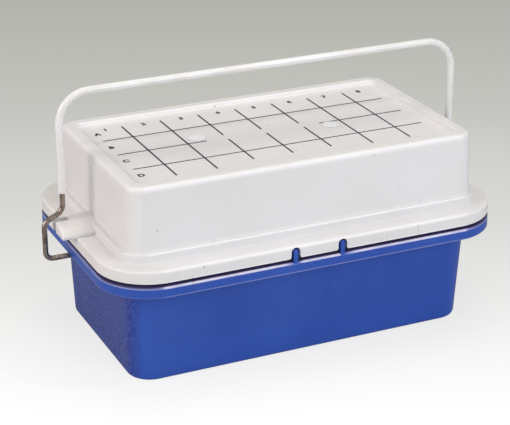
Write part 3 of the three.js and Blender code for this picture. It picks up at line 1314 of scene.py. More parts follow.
@dataclass
class Pivot:
    """The bail's pivot: a blind pocket at each end of the tub.

    Attributes:
        height: Height of the axis.
        pocket_radius: Radius of the pocket.
        pocket_reach: Where the pocket ends, from the middle.
        pocket_mouth: Where its cutter starts, outside the flange.
        boss_reach: Where the boss inside the tub ends.
        boss_half: Half of the boss's width.
        boss_ease: Rounding of the boss's inner end.
    """

    height: float = 61.8 * MM
    pocket_radius: float = 1.9 * MM
    pocket_reach: float = 105 * MM
    pocket_mouth: float = 130 * MM
    boss_reach: float = 103.4 * MM
    boss_half: float = 7 * MM
    boss_ease: float = 1.2 * MM

    def pocket(self, end: End) -> Piece:
        """Cutter for one pocket and the notch in the flange's lip."""
        points = [Vector((end * self.pocket_reach, 0, self.height)),
                  Vector((end * self.pocket_mouth, 0, self.height))]
        return loft(f"pocket_{end}", rod_rings(points, [self.pocket_radius] * 2))

    def boss(self, end: End, wall: float, top: float) -> Piece:
        """One boss on the inside of the tub's end wall.

        Args:
            end: Which end.
            wall: A place inside the end wall, from the middle.
            top: Height of its top.

        Returns:
            The boss.
        """
        reach = sorted((end * self.boss_reach, end * wall))
        low = Vector((reach[0], -self.boss_half, self.height - self.boss_half))
        made = box(f"boss_{end}", low, Vector((reach[1], self.boss_half, top)))
        round_edges(made, self.boss_ease, 0, end * self.boss_reach)
        return made


@dataclass
class Keys:
    """The two locating keys on the tub's front, and the lid's notches for them.

    Attributes:
        spacing: Distance between the keys.
        middle_x: Place of the pair's middle.
        width: Width of a key.
        depth: Depth of a key from the front.
        root: How far a key reaches below the ledge.
        ease: Rounding of a key's front edges.
        notch_width: Width of a notch.
        notch_top: Height of a notch's crown.
        flare: Radius where a notch meets the skirt's lower edge.
    """

    spacing: float = 30.5 * MM
    middle_x: float = -1.4 * MM
    width: float = 2.8 * MM
    depth: float = 2.6 * MM
    root: float = 1.4 * MM
    ease: float = 0.5 * MM
    notch_width: float = 5.8 * MM
    notch_top: float = 78.0 * MM
    flare: float = 1.6 * MM

    def key(self, side: End, front: float, low: float, high: float) -> Piece:
        """One key, with a round crown and eased front edges.

        Args:
            side: Which key.
            front: Y of its front face.
            low: Its lower end.
            high: Its crown.

        Returns:
            The key.
        """
        middle = self.middle_x + side * self.spacing / 2
        half = self.width / 2
        outline = [(middle - half, low), (middle + half, low)]
        outline += arc((middle, high - half), half, 0, math.pi)
        made = prism(f"key_{side}", outline, lambda x, z, y: Vector((x, y, z)), front,
                     front + self.depth)
        round_edges(made, self.ease, 1, front, all)
        return made

    def notch(self, side: End, front: float, low: float) -> Piece:
        """Cutter for one notch, flared at the skirt's lower edge.

        Args:
            side: Which notch.
            front: Y of the skirt's front.
            low: Height of the skirt's lower edge.

        Returns:
            The cutter.
        """
        middle = self.middle_x + side * self.spacing / 2
        half = self.notch_width / 2
        reach = half + self.flare
        centre = low + self.flare
        outline = [(middle - reach, low - OVERSHOOT), (middle + reach, low - OVERSHOOT)]
        outline += arc((middle + reach, centre), self.flare, -math.pi / 2, -math.pi,
                       SOFT_STEPS)
        outline += arc((middle, self.notch_top - half), half, 0, math.pi)
        outline += arc((middle - reach, centre), self.flare, 0, -math.pi / 2, SOFT_STEPS)
        return prism(f"notch_{side}", outline, lambda x, z, y: Vector((x, y, z)),
                     front - OVERSHOOT, front + self.depth + OVERSHOOT)


@dataclass
class Tub:
    """The blue tub: foot, wall, overhanging flange, ledge and upstand.

    Attributes:
        keys: Its locating keys.
        pivot: Its pockets for the bail.
        plugs: Its filling holes and their plugs.
        flange: Outline of the flange, which the frame gives.
        foot: Outline of the wall at the foot.
        top: Outline of the wall under the flange.
        foot_rounding: Rounding of the foot's edge.
        floor: Thickness of the floor.
        wall: Thickness of the wall.
        flange_low: Height of the flange's lower edge.
        ledge: Height of the ledge on the flange.
        web: Thickness of the flange's web.
        lip: Thickness of the flange's lip.
        upstand_inset: Distance of the upstand from the flange's edge.
        upstand_wall: Thickness of the upstand.
        upstand_top: Height of the upstand.
        foot_margin: Width of the flat ring under the foot.
        floor_margin: Width of the flat ring inside, on the floor.
    """

    keys: Keys
    pivot: Pivot
    plugs: FillPlug
    flange: Outline = field(init=False)
    foot: Outline = Outline(110.2 * MM, 60 * MM, 15 * MM)
    top: Outline = Outline(112 * MM, 63.6 * MM, 14 * MM)
    foot_rounding: float = 2.5 * MM
    floor: float = 3 * MM
    wall: float = 3 * MM
    flange_low: float = 62 * MM
    ledge: float = 68.8 * MM
    web: float = 2.8 * MM
    lip: float = 3 * MM
    upstand_inset: float = 5.4 * MM
    upstand_wall: float = 2.8 * MM
    upstand_top: float = 75.9 * MM
    foot_margin: float = 9 * MM
    floor_margin: float = 8 * MM

    def __post_init__(self) -> None:
        """Reads the flange's size from the frame."""
        _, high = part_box("base_shell")
        self.flange = Outline(high.x, high.y, FLANGE_RADIUS)

    def levels(self) -> list[Level]:
        """Section of the tub, from under its foot, over the flange and back inside."""
        under = self.ledge - self.web
        lip = self.flange.inset(self.lip)
        outer = self.flange.inset(self.upstand_inset)
        inner = outer.inset(self.upstand_wall)
        hollow = self.top.inset(self.wall)
        bottom = self.foot.inset(self.wall)
        # A fourth number paints a highlight on that rounding, brightest on the ledge's outer
        # edge
        return [
            Level(self.foot.inset(self.foot_margin), 0),
            Level(self.foot, 0, self.foot_rounding),
            Level(self.top, under, 1.2 * MM),
            Level(lip, under, 0.6 * MM),
            Level(lip, self.flange_low, 0.5 * MM),
            Level(self.flange, self.flange_low, 0.7 * MM, 0.25),
            Level(self.flange, self.ledge, 0.9 * MM, 1.0),
            Level(outer, self.ledge, 0.5 * MM),
            Level(outer, self.upstand_top, 0.6 * MM),
            Level(inner, self.upstand_top, 0.6 * MM),
            Level(inner, self.ledge, 0.3 * MM),
            Level(hollow, self.ledge, 0.8 * MM),
            Level(bottom, self.floor, 2.5 * MM),
            Level(bottom.inset(self.floor_margin), self.floor),
        ]

    def build(self, plastic: Material) -> None:
        """Builds and dresses the tub.

        Args:
            plastic: Its material.
        """
        _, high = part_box("base_shell")
        made = moulding("tub_moulding", self.levels())
        inside = self.top.half_x - self.wall / 2
        root = self.ledge - self.keys.root
        keys = [self.keys.key(side, -self.flange.half_y, root, high.z) for side in End]
        bosses = both_ends(lambda end: self.pivot.boss(end, inside, self.ledge - OVERSHOOT))
        combine(made, keys + bosses, Joining.ADD)
        holes = both_ends(lambda end: self.plugs.hole(end, 0, self.floor))
        combine(made, both_ends(self.pivot.pocket) + holes, Joining.CUT)
        finish_shape(made, EASE)
        dress(made, plastic, Body.BASE, ["base_shell"])


@dataclass
class Ear:
    """One of the two ears at the lid's ends, which the bail's shoulders rest against.

    Attributes:
        reach: Its outer end, from the middle.
        pivot_height: Height of the bail's axis.
        half_width: Half of its width along Y.
        radius: Radius of its top about the bail's axis.
        root: Its inner end, buried in the lid's wall.
        bottom: Height of its underside.
        slot_from: Where the slot for the bail's arm starts.
        slot_half: Half of the slot's width.
        ease: Rounding of its outer edges.
    """

    reach: float
    pivot_height: float
    half_width: float = 15 * MM
    radius: float = 24 * MM
    root: float = 112.5 * MM
    bottom: float = 78.2 * MM
    slot_from: float = 127.9 * MM
    slot_half: float = 2.6 * MM
    ease: float = 0.9 * MM

    def outline(self) -> list[Pair]:
        """The ear seen from its end, as Y and Z."""
        side = math.asin(self.half_width / self.radius)
        crown = arc((0, self.pivot_height), self.radius, math.pi / 2 - side,
                    math.pi / 2 + side)
        return [(-self.half_width, self.bottom), (self.half_width, self.bottom), *crown]

    def body(self, end: End) -> Piece:
        """One ear, with eased outer edges.

        Args:
            end: Which end.

        Returns:
            The ear.
        """
        low, high = sorted((end * self.root, end * self.reach))
        made = prism(f"ear_{end}", self.outline(), lambda y, z, x: Vector((x, y, z)),
                     low, high)
        round_edges(made, self.ease, 0, end * self.reach)
        return made

    def slot(self, end: End) -> Piece:
        """Cutter for the slot that lets the bail's arm pass.

        Args:
            end: Which end.

        Returns:
            The cutter.
        """
        low, high = sorted((end * self.slot_from, end * (self.reach + OVERSHOOT)))
        top = self.pivot_height + self.radius + OVERSHOOT
        return box(f"ear_slot_{end}", Vector((low, -self.slot_half, self.bottom - OVERSHOOT)),
                   Vector((high, self.slot_half, top)))


@dataclass
class LidMoulding:
    """The white lid: skirt, flange, step, tall block, rim and sunken panel.

    Attributes:
        keys: The keys that its notches pass over.
        pivot: The bail's pivot.
        plugs: Its filling holes and their plugs.
        skirt: Outline of the skirt, which the frame gives.
        ear: Its ears.
        skirt_low: Height of the skirt's lower edge, which the frame gives.
        rim: Height of the rim, which the frame gives.
        step: Outline of the step.
        foot: Outline of the block's foot.
        crown: Outline of the block at its rim.
        skirt_inset: How far the skirt lies inside the tub's flange.
        skirt_wall: Thickness of the skirt.
        flange_top: Height of the flange over the skirt.
        flange_under: Height of that flange's underside.
        step_top: Height of the step.
        rim_width: Width of the rim round the panel.
        rim_rounding: Rounding of the rim's outer edge.
        panel: Height of the sunken panel.
        panel_slope: How far the rim's inner face leans in.
        panel_radius: Corner radius of the panel.
        panel_thickness: Thickness of the panel.
        wall: Thickness of the block's wall.
        liner_seat: Height of the seat that the liner is pressed into.
        liner_ledge: Width of that seat.
        groove_radius: Radius of the grooves in the end walls.
        groove_depth: Depth of the grooves.
        groove_top: Height of their upper ends.
        margin: Width of the flat rings on the panel's two sides.
    """

    keys: Keys
    pivot: Pivot
    plugs: FillPlug
    skirt: Outline = field(init=False)
    ear: Ear = field(init=False)
    skirt_low: float = field(init=False)
    rim: float = field(init=False)
    step: Outline = Outline(116 * MM, 66.2 * MM, 15 * MM)
    foot: Outline = Outline(112.6 * MM, 63.6 * MM, 10 * MM)
    crown: Outline = Outline(111.4 * MM, 62.4 * MM, 10 * MM)
    skirt_inset: float = 0.3 * MM
    skirt_wall: float = 3 * MM
    flange_top: float = 78.6 * MM
    flange_under: float = 76.2 * MM
    step_top: float = 84.2 * MM
    rim_width: float = 7.8 * MM
    rim_rounding: float = 2.6 * MM
    panel: float = 120.5 * MM
    panel_slope: float = 0.9 * MM
    panel_radius: float = 5 * MM
    panel_thickness: float = 3 * MM
    wall: float = 3 * MM
    liner_seat: float = 81.4 * MM
    liner_ledge: float = 2.8 * MM
    groove_radius: float = 4 * MM
    groove_depth: float = 1.7 * MM
    groove_top: float = 117.5 * MM
    margin: float = 8 * MM

    def __post_init__(self) -> None:
        """Reads the lid's outer sizes from the frame."""
        low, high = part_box("lid_shell")
        _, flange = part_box("base_shell")
        self.skirt = Outline(flange.x, flange.y, FLANGE_RADIUS).inset(self.skirt_inset)
        self.skirt_low = low.z
        self.rim = high.z
        self.ear = Ear(high.x, self.pivot.height)

    def levels(self) -> list[Level]:
        """Section of the lid, from its panel, over the rim and skirt and back inside."""
        brim = self.crown.inset(self.rim_width, self.panel_radius)
        floor = brim.inset(self.panel_slope, self.panel_radius)
        seat = self.foot.inset(self.wall - self.liner_ledge)
        ceiling = self.panel - self.panel_thickness
        skirt_in = self.skirt.inset(self.skirt_wall)
        # A fourth number paints a highlight on that rounding, brightest on the skirt's lower
        # edge
        return [
            Level(floor.inset(self.margin), self.panel),
            Level(floor, self.panel, 0.9 * MM),
            Level(brim, self.rim, 0.7 * MM, 0.3),
            Level(self.crown, self.rim, self.rim_rounding, 0.25),
            Level(self.foot, self.step_top, 1.3 * MM),
            Level(self.step, self.step_top, 0.9 * MM, 0.55),
            Level(self.step, self.flange_top, 1.0 * MM),
            Level(self.skirt, self.flange_top, 1.4 * MM, 0.3),
            Level(self.skirt, self.skirt_low, 0.6 * MM, 1.0),
            Level(skirt_in, self.skirt_low, 0.5 * MM),
            Level(skirt_in.inset(0.4 * MM), self.flange_under, 0.8 * MM),
            Level(seat, self.flange_under, 0.5 * MM),
            Level(seat, self.liner_seat, 0.4 * MM),
            Level(self.foot.inset(self.wall), self.liner_seat, 0.4 * MM),
            Level(self.crown.inset(self.wall), ceiling, 2.0 * MM),
            Level(self.crown.inset(self.wall + self.margin), ceiling),
        ]

    def groove(self, end: End) -> Piece:
        """Cutter for the half-round groove down the middle of an end wall.

        Args:
            end: Which end.

        Returns:
            The cutter, with a round upper end.
        """
        low = self.pivot.height + self.ear.radius
        lean = (self.foot.half_x - self.crown.half_x) / (self.rim - self.step_top)
        inside = self.foot.half_x + self.groove_radius - self.groove_depth
        points, radii = [], []

        def add(height: float, radius: float) -> None:
            """Adds one station on the wall's slope."""
            out = inside - (height - self.step_top) * lean
            points.append(Vector((end * out, 0, height)))
            radii.append(radius)

        add(low, self.groove_radius)
        straight = self.groove_top - self.groove_radius
        for step in range(CORNER_STEPS):
            angle = math.pi / 2 * step / CORNER_STEPS
            add(straight + self.groove_radius * math.sin(angle),
                self.groove_radius * math.cos(angle))
        return loft(f"groove_{end}", rod_rings(points, radii))

    def build(self, plastic: Material) -> None:
        """Builds and dresses the lid.

        Args:
            plastic: Its material.
        """
        made = moulding("lid_moulding", self.levels())
        combine(made, both_ends(self.groove), Joining.CUT)
        combine(made, both_ends(self.ear.body), Joining.ADD)
        front = -self.skirt.half_y
        notches = [self.keys.notch(side, front, self.skirt_low) for side in End]
        ceiling = self.panel - self.panel_thickness
        holes = both_ends(lambda end: self.plugs.hole(end, ceiling, self.panel))
        combine(made, both_ends(self.ear.slot) + notches + holes, Joining.CUT)
        finish_shape(made, EASE)
        dress(made, plastic, Body.LID, ["lid_shell"])


@dataclass
class Liner:
    """The plate that closes the lid from below, with a raised frame round it.

    Attributes:
        lid: The lid that it closes.
        frame_width: Width of the raised frame.
        field_radius: Least corner radius of the field inside that frame.
        recess: Depth of that field.
        margin: Width of the flat rings on its two sides.
    """

    lid: LidMoulding
    frame_width: float = 6 * MM
    field_radius: float = 3 * MM
    recess: float = 0.9 * MM
    margin: float = 9 * MM

    def build(self, plastic: Material) -> None:
        """Builds and dresses the liner.

        Args:
            plastic: Its material.
        """
        low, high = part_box("lid_liner")
        edge = Outline(high.x, high.y, self.lid.foot.radius)
        field_edge = edge.inset(self.frame_width, self.field_radius)
        made = moulding("liner_plate", [
            Level(field_edge.inset(self.margin), low.z + self.recess),
            Level(field_edge, low.z + self.recess, 0.6 * MM),
            Level(field_edge.inset(-self.recess), low.z, 0.4 * MM),
            Level(edge, low.z, 0.4 * MM),
            Level(edge, high.z, 0.3 * MM),
            Level(edge.inset(self.margin), high.z),
        ])
        finish_shape(made)
        dress(made, plastic, Body.LID, ["lid_liner"])


@dataclass
class Bail:
    """The wire bail with its shoulders and turned-in ends, and the sleeve on its grip.

    Attributes:
        pivot: Its pivot in the tub.
        top_bend: Bend radius of the top corners.
        shoulder_bend: Bend radius where the arm leaves the upright.
        elbow_bend: Bend radius where the arm meets the leg.
        heel_bend: Bend radius above the turned-in end.
        shoulder_top: Height at which the arm leaves the upright.
        shoulder_foot: Height at which it meets the leg.
        end_x: Where the turned-in end stops.
        chamfer: Length of the chamfer on that end.
        bore: Inner radius of the sleeve.
        lip: Length of the eased ends of the sleeve.
        crease: Depth of the creases in the sleeve's bends.
        creases: Number of creases in a bend.
    """

    pivot: Pivot
    top_bend: float = 18.5 * MM
    shoulder_bend: float = 7 * MM
    elbow_bend: float = 5 * MM
    heel_bend: float = 4.5 * MM
    shoulder_top: float = 90.8 * MM
    shoulder_foot: float = 85.2 * MM
    end_x: float = 105.6 * MM
    chamfer: float = 0.4 * MM
    bore: float = 1.88 * MM
    lip: float = 0.35 * MM
    crease: float = 0.12 * MM
    creases: int = 7

    def corners(self, stations: Sequence[tuple[float, float, float]]
                ) -> list[tuple[Vector, float]]:
        """Corners of a path and of its mirror image.

        Args:
            stations: X, height and bend radius of each corner on the right.

        Returns:
            The corners from the right-hand end to the left-hand one.
        """
        right = [(Vector((x, 0, z)), bend) for x, z, bend in stations]
        left = [(Vector((-x, 0, z)), bend) for x, z, bend in reversed(stations)]
        return right + left

    def wire(self, steel: Material) -> None:
        """Builds and dresses the wire, with a small chamfer on each end.

        Args:
            steel: Its material.
        """
        _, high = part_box("bail_wire")
        radius = high.y
        arm = self.arm_x()
        path = bent_path(self.corners([
            (self.end_x, self.pivot.height, 0),
            (high.x - radius, self.pivot.height, self.heel_bend),
            (high.x - radius, self.shoulder_foot, self.elbow_bend),
            (arm, self.shoulder_top, self.shoulder_bend),
            (arm, high.z - radius, self.top_bend),
        ]))
        step = Vector((self.chamfer, 0, 0))
        points = [path[0], path[0] + step, *path[1:-1], path[-1] - step, path[-1]]
        radii = [radius * 0.75] + [radius] * (len(points) - 2) + [radius * 0.75]
        made = loft("wire_bail", rod_rings(points, radii))
        finish_shape(made)
        dress(made, steel, Body.BAIL, ["bail_wire"])

    def arm_x(self) -> float:
        """Distance of the bail's uprights from the middle."""
        _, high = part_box("bail_sleeve")
        return high.x - high.y

    def sleeve(self, vinyl: Material) -> None:
        """Builds and dresses the sleeve, creased a little in its bends.

        Args:
            vinyl: Its material.
        """
        low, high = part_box("bail_sleeve")
        radius = high.y
        arm = self.arm_x()
        path = bent_path(self.corners([(arm, low.z, 0),
                                       (arm, high.z - radius, self.top_bend)]))
        points = self.filled(path)
        radii = [radius - self.crease * self.creased(point, arm, high.z - radius)
                 for point in points]
        radii[0] = radii[-1] = radius - self.lip
        for end, place in ((0, 1), (-1, -1)):
            points.insert(place, points[end] + Vector((0, 0, self.lip)))
            radii.insert(place, radius)
        outer = rod_rings(points, radii)
        inner = rod_rings(points, [self.bore] * len(points))
        made = loft("grip_sleeve", outer + inner[::-1], closed=True)
        finish_shape(made)
        dress(made, vinyl, Body.BAIL, ["bail_sleeve"])

    def filled(self, path: Sequence[Vector]) -> list[Vector]:
        """Adds points along each step of the bends.

        Args:
            path: The path.

        Returns:
            The path with more points where its steps are short.
        """
        points = [path[0]]
        for before, after in zip(path, path[1:]):
            if (after - before).length < self.top_bend:
                points += [before.lerp(after, share) for share in (0.25, 0.5, 0.75)]
            points.append(after)
        return points

    def creased(self, point: Vector, arm: float, top: float) -> float:
        """How deep the sleeve is creased at a point, from 0 to 1.

        Args:
            point: A point on the path.
            arm: Distance of the uprights from the middle.
            top: Height of the grip.

        Returns:
            The crease there.
        """
        across = abs(point.x) - (arm - self.top_bend)
        up = point.z - (top - self.top_bend)
        if across <= 0 or up <= 0:
            return 0.0
        turn = math.atan2(up, across) / (math.pi / 2)
        return math.sin(math.pi * turn) * (0.5 - 0.5 * math.cos(2 * math.pi * turn
                                                              * self.creases))


# Pieces that repeat along a rule

def end_tree(graph: Graph, shape: NodeSocket, material: NodeSocket) -> None:
    """Ends a tree with real geometry in one material.

    Args:
        graph: The tree's graph.
        shape: The geometry.
        material: The material's socket.
    """
    real = graph.node("GeometryNodeRealizeInstances", {"Geometry": shape})
    coated = graph.node("GeometryNodeSetMaterial", {"Geometry": real.outputs[0],
                                                    "Material": material})
    close_tree(graph, {"Geometry": coated.outputs[0]}, {"Geometry": SHAPE})


def run_tree(piece: Piece, graph: Graph, values: dict) -> None:
    """Runs a tree on a piece and keeps the plain mesh that it makes.

    Args:
        piece: The piece.
        graph: The tree's graph.
        values: The tree's inputs by name.
    """
    modifier = piece.modifiers.new(graph.tree.name, "NODES")
    modifier.node_group = graph.tree
    sockets = {item.name: item.identifier for item in graph.tree.interface.items_tree
               if item.in_out == "INPUT"}
    for name, value in values.items():
        modifier[sockets[name]] = value
    bake_modifiers(piece)


@dataclass
class WellTray:
    """The tray of tube wells: a plate with round cups, each with an eased mouth.

    Attributes:
        pitch: Distance between wells.
        columns: Wells along the tray.
        rows: Wells across the tray.
        radius: Inner radius of a well.
        wall: Thickness of a cup's wall.
        ease: Width of the eased mouth.
        plate: Thickness of the plate.
        corner_inset: How far its corner radius is under the flange's.
        margin: Width of the flat rings on its two sides.
        clearance: How far the mouths' cutter stands above the plate.
    """

    pitch: float = 25.4 * MM
    columns: int = 8
    rows: int = 4
    radius: float = 6.4 * MM
    wall: float = 1.5 * MM
    ease: float = 0.9 * MM
    plate: float = 2.5 * MM
    corner_inset: float = 8.5 * MM
    margin: float = 7 * MM
    clearance: float = 0.05 * MM

    def tree(self) -> Graph:
        """Tree that sets cups and bores on a grid and joins them to the plate."""
        names = {"Geometry": SHAPE, "Columns": WHOLE, "Rows": WHOLE, "Pitch": FLOAT,
                 "Radius": FLOAT, "Wall": FLOAT, "Ease": FLOAT, "Floor": FLOAT,
                 "Top": FLOAT, "Material": COATING}
        graph, given = open_tree("tube_wells", SHAPING, [
            (name, kind, None) for name, kind in names.items()])
        span_x, span_y = (
            graph.times(graph.minus(given[count], 1.0), given["Pitch"])
            for count in ("Columns", "Rows"))
        grid = graph.node("GeometryNodeMeshGrid", {
            "Size X": span_x, "Size Y": span_y, "Vertices X": given["Columns"],
            "Vertices Y": given["Rows"]})
        inner, wall, top = given["Radius"], given["Wall"], given["Top"]
        outer, wide = graph.plus(inner, wall), graph.plus(inner, given["Ease"])
        cups = self._drums(graph, grid, outer, outer, graph.minus(given["Floor"], wall),
                           graph.minus(top, wall))
        bores = self._drums(graph, grid, inner, inner, given["Floor"],
                            graph.plus(top, OVERSHOOT))
        mouths = self._drums(graph, grid, inner, wide, graph.minus(top, given["Ease"]),
                             graph.plus(top, self.clearance))
        joined = graph.node("GeometryNodeMeshBoolean", operation="UNION", solver="EXACT")
        graph.tree.links.new(given["Geometry"], joined.inputs["Mesh 2"])
        graph.tree.links.new(cups, joined.inputs["Mesh 2"])
        cut = graph.node("GeometryNodeMeshBoolean", {"Mesh 1": joined.outputs["Mesh"]},
                         operation="DIFFERENCE", solver="EXACT")
        graph.tree.links.new(bores, cut.inputs["Mesh 2"])
        graph.tree.links.new(mouths, cut.inputs["Mesh 2"])
        end_tree(graph, cut.outputs["Mesh"], given["Material"])
        return graph

    @staticmethod
    def _drums(graph: Graph, grid: Node, low_radius: object,
               high_radius: object, low: object, high: object) -> NodeSocket:
        """Adds one drum at each point of the grid.

        Args:
            graph: The tree's graph.
            grid: The node that makes the grid.
            low_radius: Radius of the drum's lower end.
            high_radius: Radius of its upper end.
            low: Height of its lower end.
            high: Height of its upper end.

        Returns:
            The drums as one mesh.
        """
        depth = graph.minus(high, low)
        drum = graph.node("GeometryNodeMeshCone", {
            "Vertices": WELL_SIDES, "Radius Top": high_radius,
            "Radius Bottom": low_radius, "Depth": depth})
        lift = graph.node("ShaderNodeCombineXYZ", {"Z": low})
        raised = graph.node("GeometryNodeTransform", {
            "Geometry": drum.outputs["Mesh"], "Translation": lift.outputs[0]})
        spread = graph.node("GeometryNodeInstanceOnPoints", {
            "Points": grid.outputs["Mesh"], "Instance": raised.outputs[0]})
        real = graph.node("GeometryNodeRealizeInstances",
                          {"Geometry": spread.outputs[0]})
        return real.outputs[0]

    def build(self, plastic: Material) -> None:
        """Builds and dresses the tray.

        Args:
            plastic: Its material.
        """
        low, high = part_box("well_tray")
        edge = Outline(high.x, high.y, FLANGE_RADIUS - self.corner_inset)
        under = high.z - self.plate
        made = moulding("tube_tray", [
            Level(edge.inset(self.margin), under),
            Level(edge, under, 0.3 * MM),
            Level(edge, high.z, 0.5 * MM),
            Level(edge.inset(self.margin), high.z),
        ])
        run_tree(made, self.tree(), {
            "Columns": self.columns, "Rows": self.rows, "Pitch": self.pitch,
            "Radius": self.radius, "Wall": self.wall, "Ease": self.ease,
            "Floor": low.z + self.wall, "Top": high.z, "Material": plastic})
        finish_shape(made)
        dress(made, plastic, Body.BASE, ["well_tray"])


@dataclass
class GridPrint:
    """The printed grid on the panel: lines between the wells, and their labels.

    Attributes:
        tray: The tray whose wells it maps.
        panel: Height of the lid's panel.
        width: Width of a line.
        film: Thickness of the ink.
        middle_y: How far the print's middle lies behind the lid's.
        column_reach: Where the column lines end, to the back and to the front.
        short_reach: Where the middle column lines end at the front.
        row_reach: Where the row lines end, to the left and to the right.
        bare_columns: Column lines that stop at the bare strip.
        bare_strip: The bare strip across them, as two places along Y.
        bare_row: The bare stretch of the middle row line, as two places along X.
        number_y: Place of the column numbers.
        number_spread: Their spacing over the wells' pitch.
        letter_x: Place of the row letters.
        letter_spread: Their spacing over the wells' pitch.
        letter_rise: How far the letters are moved back.
        label_size: Size of the lettering.
        label_weight: How much its strokes are thickened.
    """

    tray: WellTray
    panel: float
    width: float = 1.15 * MM
    film: float = 0.05 * MM
    middle_y: float = -0.7 * MM
    column_reach: Pair = (44.6 * MM, -45.2 * MM)
    short_reach: float = -40 * MM
    row_reach: Pair = (-95.6 * MM, 94.7 * MM)
    bare_columns: tuple[int, ...] = (-1, 0, 1)
    bare_strip: Pair = (-3.2 * MM, 4.6 * MM)
    bare_row: Pair = (-38.5 * MM, 37 * MM)
    number_y: float = 42.9 * MM
    number_spread: float = 0.983
    letter_x: float = -94.6 * MM
    letter_spread: float = 0.97
    letter_rise: float = 0.7 * MM
    label_size: float = 5.6 * MM
    label_weight: float = 0.3 * MM

    def strokes(self) -> list[tuple[Vector, Vector]]:
        """Middle and size of each stroke of the grid."""
        back, front = self.column_reach
        runs = []
        for column in range(1 - self.tray.columns // 2, self.tray.columns // 2):
            x = column * self.tray.pitch
            if column in self.bare_columns:
                runs += [((x, self.short_reach), (x, self.bare_strip[0])),
                         ((x, self.bare_strip[1]), (x, back))]
            else:
                runs.append(((x, front), (x, back)))
        left, right = self.row_reach
        for row in range(1 - self.tray.rows // 2, self.tray.rows // 2):
            y = row * self.tray.pitch + self.middle_y
            if row:
                runs.append(((left, y), (right, y)))
            else:
                runs += [((left, y), (self.bare_row[0], y)),
                         ((self.bare_row[1], y), (right, y))]
        strokes = []
        for (low_x, low_y), (high_x, high_y) in runs:
            middle = Vector(((low_x + high_x) / 2, (low_y + high_y) / 2, self.panel))
            size = Vector((max(high_x - low_x, self.width),
                           max(high_y - low_y, self.width), 2 * self.film))
            strokes.append((middle, size))
        return strokes

    def lines(self, ink: Material) -> None:
        """Builds and dresses the lines, as one piece.

        Args:
            ink: Their material.
        """
        strokes = self.strokes()
        mesh = bpy.data.meshes.new("grid_lines")
        mesh.from_pydata([middle for middle, _ in strokes], [], [])
        sizes = mesh.attributes.new("stroke_size", "FLOAT_VECTOR", "POINT")
        for value, (_, size) in zip(sizes.data, strokes):
            value.vector = size
        made = linked("grid_lines", mesh)
        graph, given = open_tree("grid_strokes", SHAPING, [
            ("Geometry", SHAPE, None), ("Material", COATING, None)])
        size = graph.node("GeometryNodeInputNamedAttribute", {"Name": "stroke_size"},
                          data_type="FLOAT_VECTOR")
        unit = graph.node("GeometryNodeMeshCube", {"Size": (1.0, 1.0, 1.0)})
        spread = graph.node("GeometryNodeInstanceOnPoints", {
            "Points": given["Geometry"], "Instance": unit.outputs["Mesh"],
            "Scale": size.outputs["Attribute"]})
        end_tree(graph, spread.outputs[0], given["Material"])
        run_tree(made, graph, {"Material": ink})
        dress(made, ink, Body.LID)

    def label(self, text: str, x: float, y: float) -> Piece:
        """One printed label, read from the front.

        Args:
            text: What it says.
            x: Its middle.
            y: Its middle.

        Returns:
            The label as a mesh.
        """
        curve = bpy.data.curves.new(f"label_{text}", "FONT")
        curve.body = text
        curve.size = self.label_size
        curve.align_x = "CENTER"
        curve.align_y = "CENTER"
        curve.extrude = self.film
        curve.offset = self.label_weight
        curve.resolution_u = 3
        lettering = linked(curve.name, curve)
        mesh = evaluated_mesh(lettering)
        mesh.transform(Matrix.Translation((x, y, self.panel)))
        bpy.data.objects.remove(lettering)
        return linked(f"label_{text}", mesh)

    def labels(self, ink: Material) -> None:
        """Builds and dresses the column numbers and row letters, as one piece.

        Args:
            ink: Their material.
        """
        pitch = self.tray.pitch
        made = []
        for column in range(self.tray.columns):
            x = (column - (self.tray.columns - 1) / 2) * pitch * self.number_spread
            made.append(self.label(str(column + 1), x, self.number_y))
        for row, letter in enumerate("ABCD"):
            y = ((self.tray.rows - 1) / 2 - row) * pitch + self.middle_y
            y = y * self.letter_spread + self.letter_rise
            made.append(self.label(letter, self.letter_x, y))
        work = bmesh.new()
        for part in made:
            work.from_mesh(part.data)
            bpy.data.objects.remove(part)
        dress(object_from("grid_labels", work), ink, Body.LID)


# Studio

@dataclass(frozen=True)
class SoftLight:
    """One square soft light.

    Attributes:
        name: Its name.
        place: Where it stands.
        width: Its width.
        power: Its power in watts.
        tint: Its colour.
    """

    name: str
    place: tuple[float, float, float]
    width: float
    power: float
    tint: Colour

    def build(self, target: Vector) -> None:
        """Adds the light, turned to the object.

        Args:
            target: What it faces.
        """
        lamp = bpy.data.lights.new(self.name, "AREA")
        lamp.size = self.width
        lamp.energy = self.power
        lamp.color = self.tint
        made = linked(self.name, lamp)
        made.location = self.place
        toward = target - Vector(self.place)
        made.rotation_euler = toward.to_track_quat("-Z", "Y").to_euler()


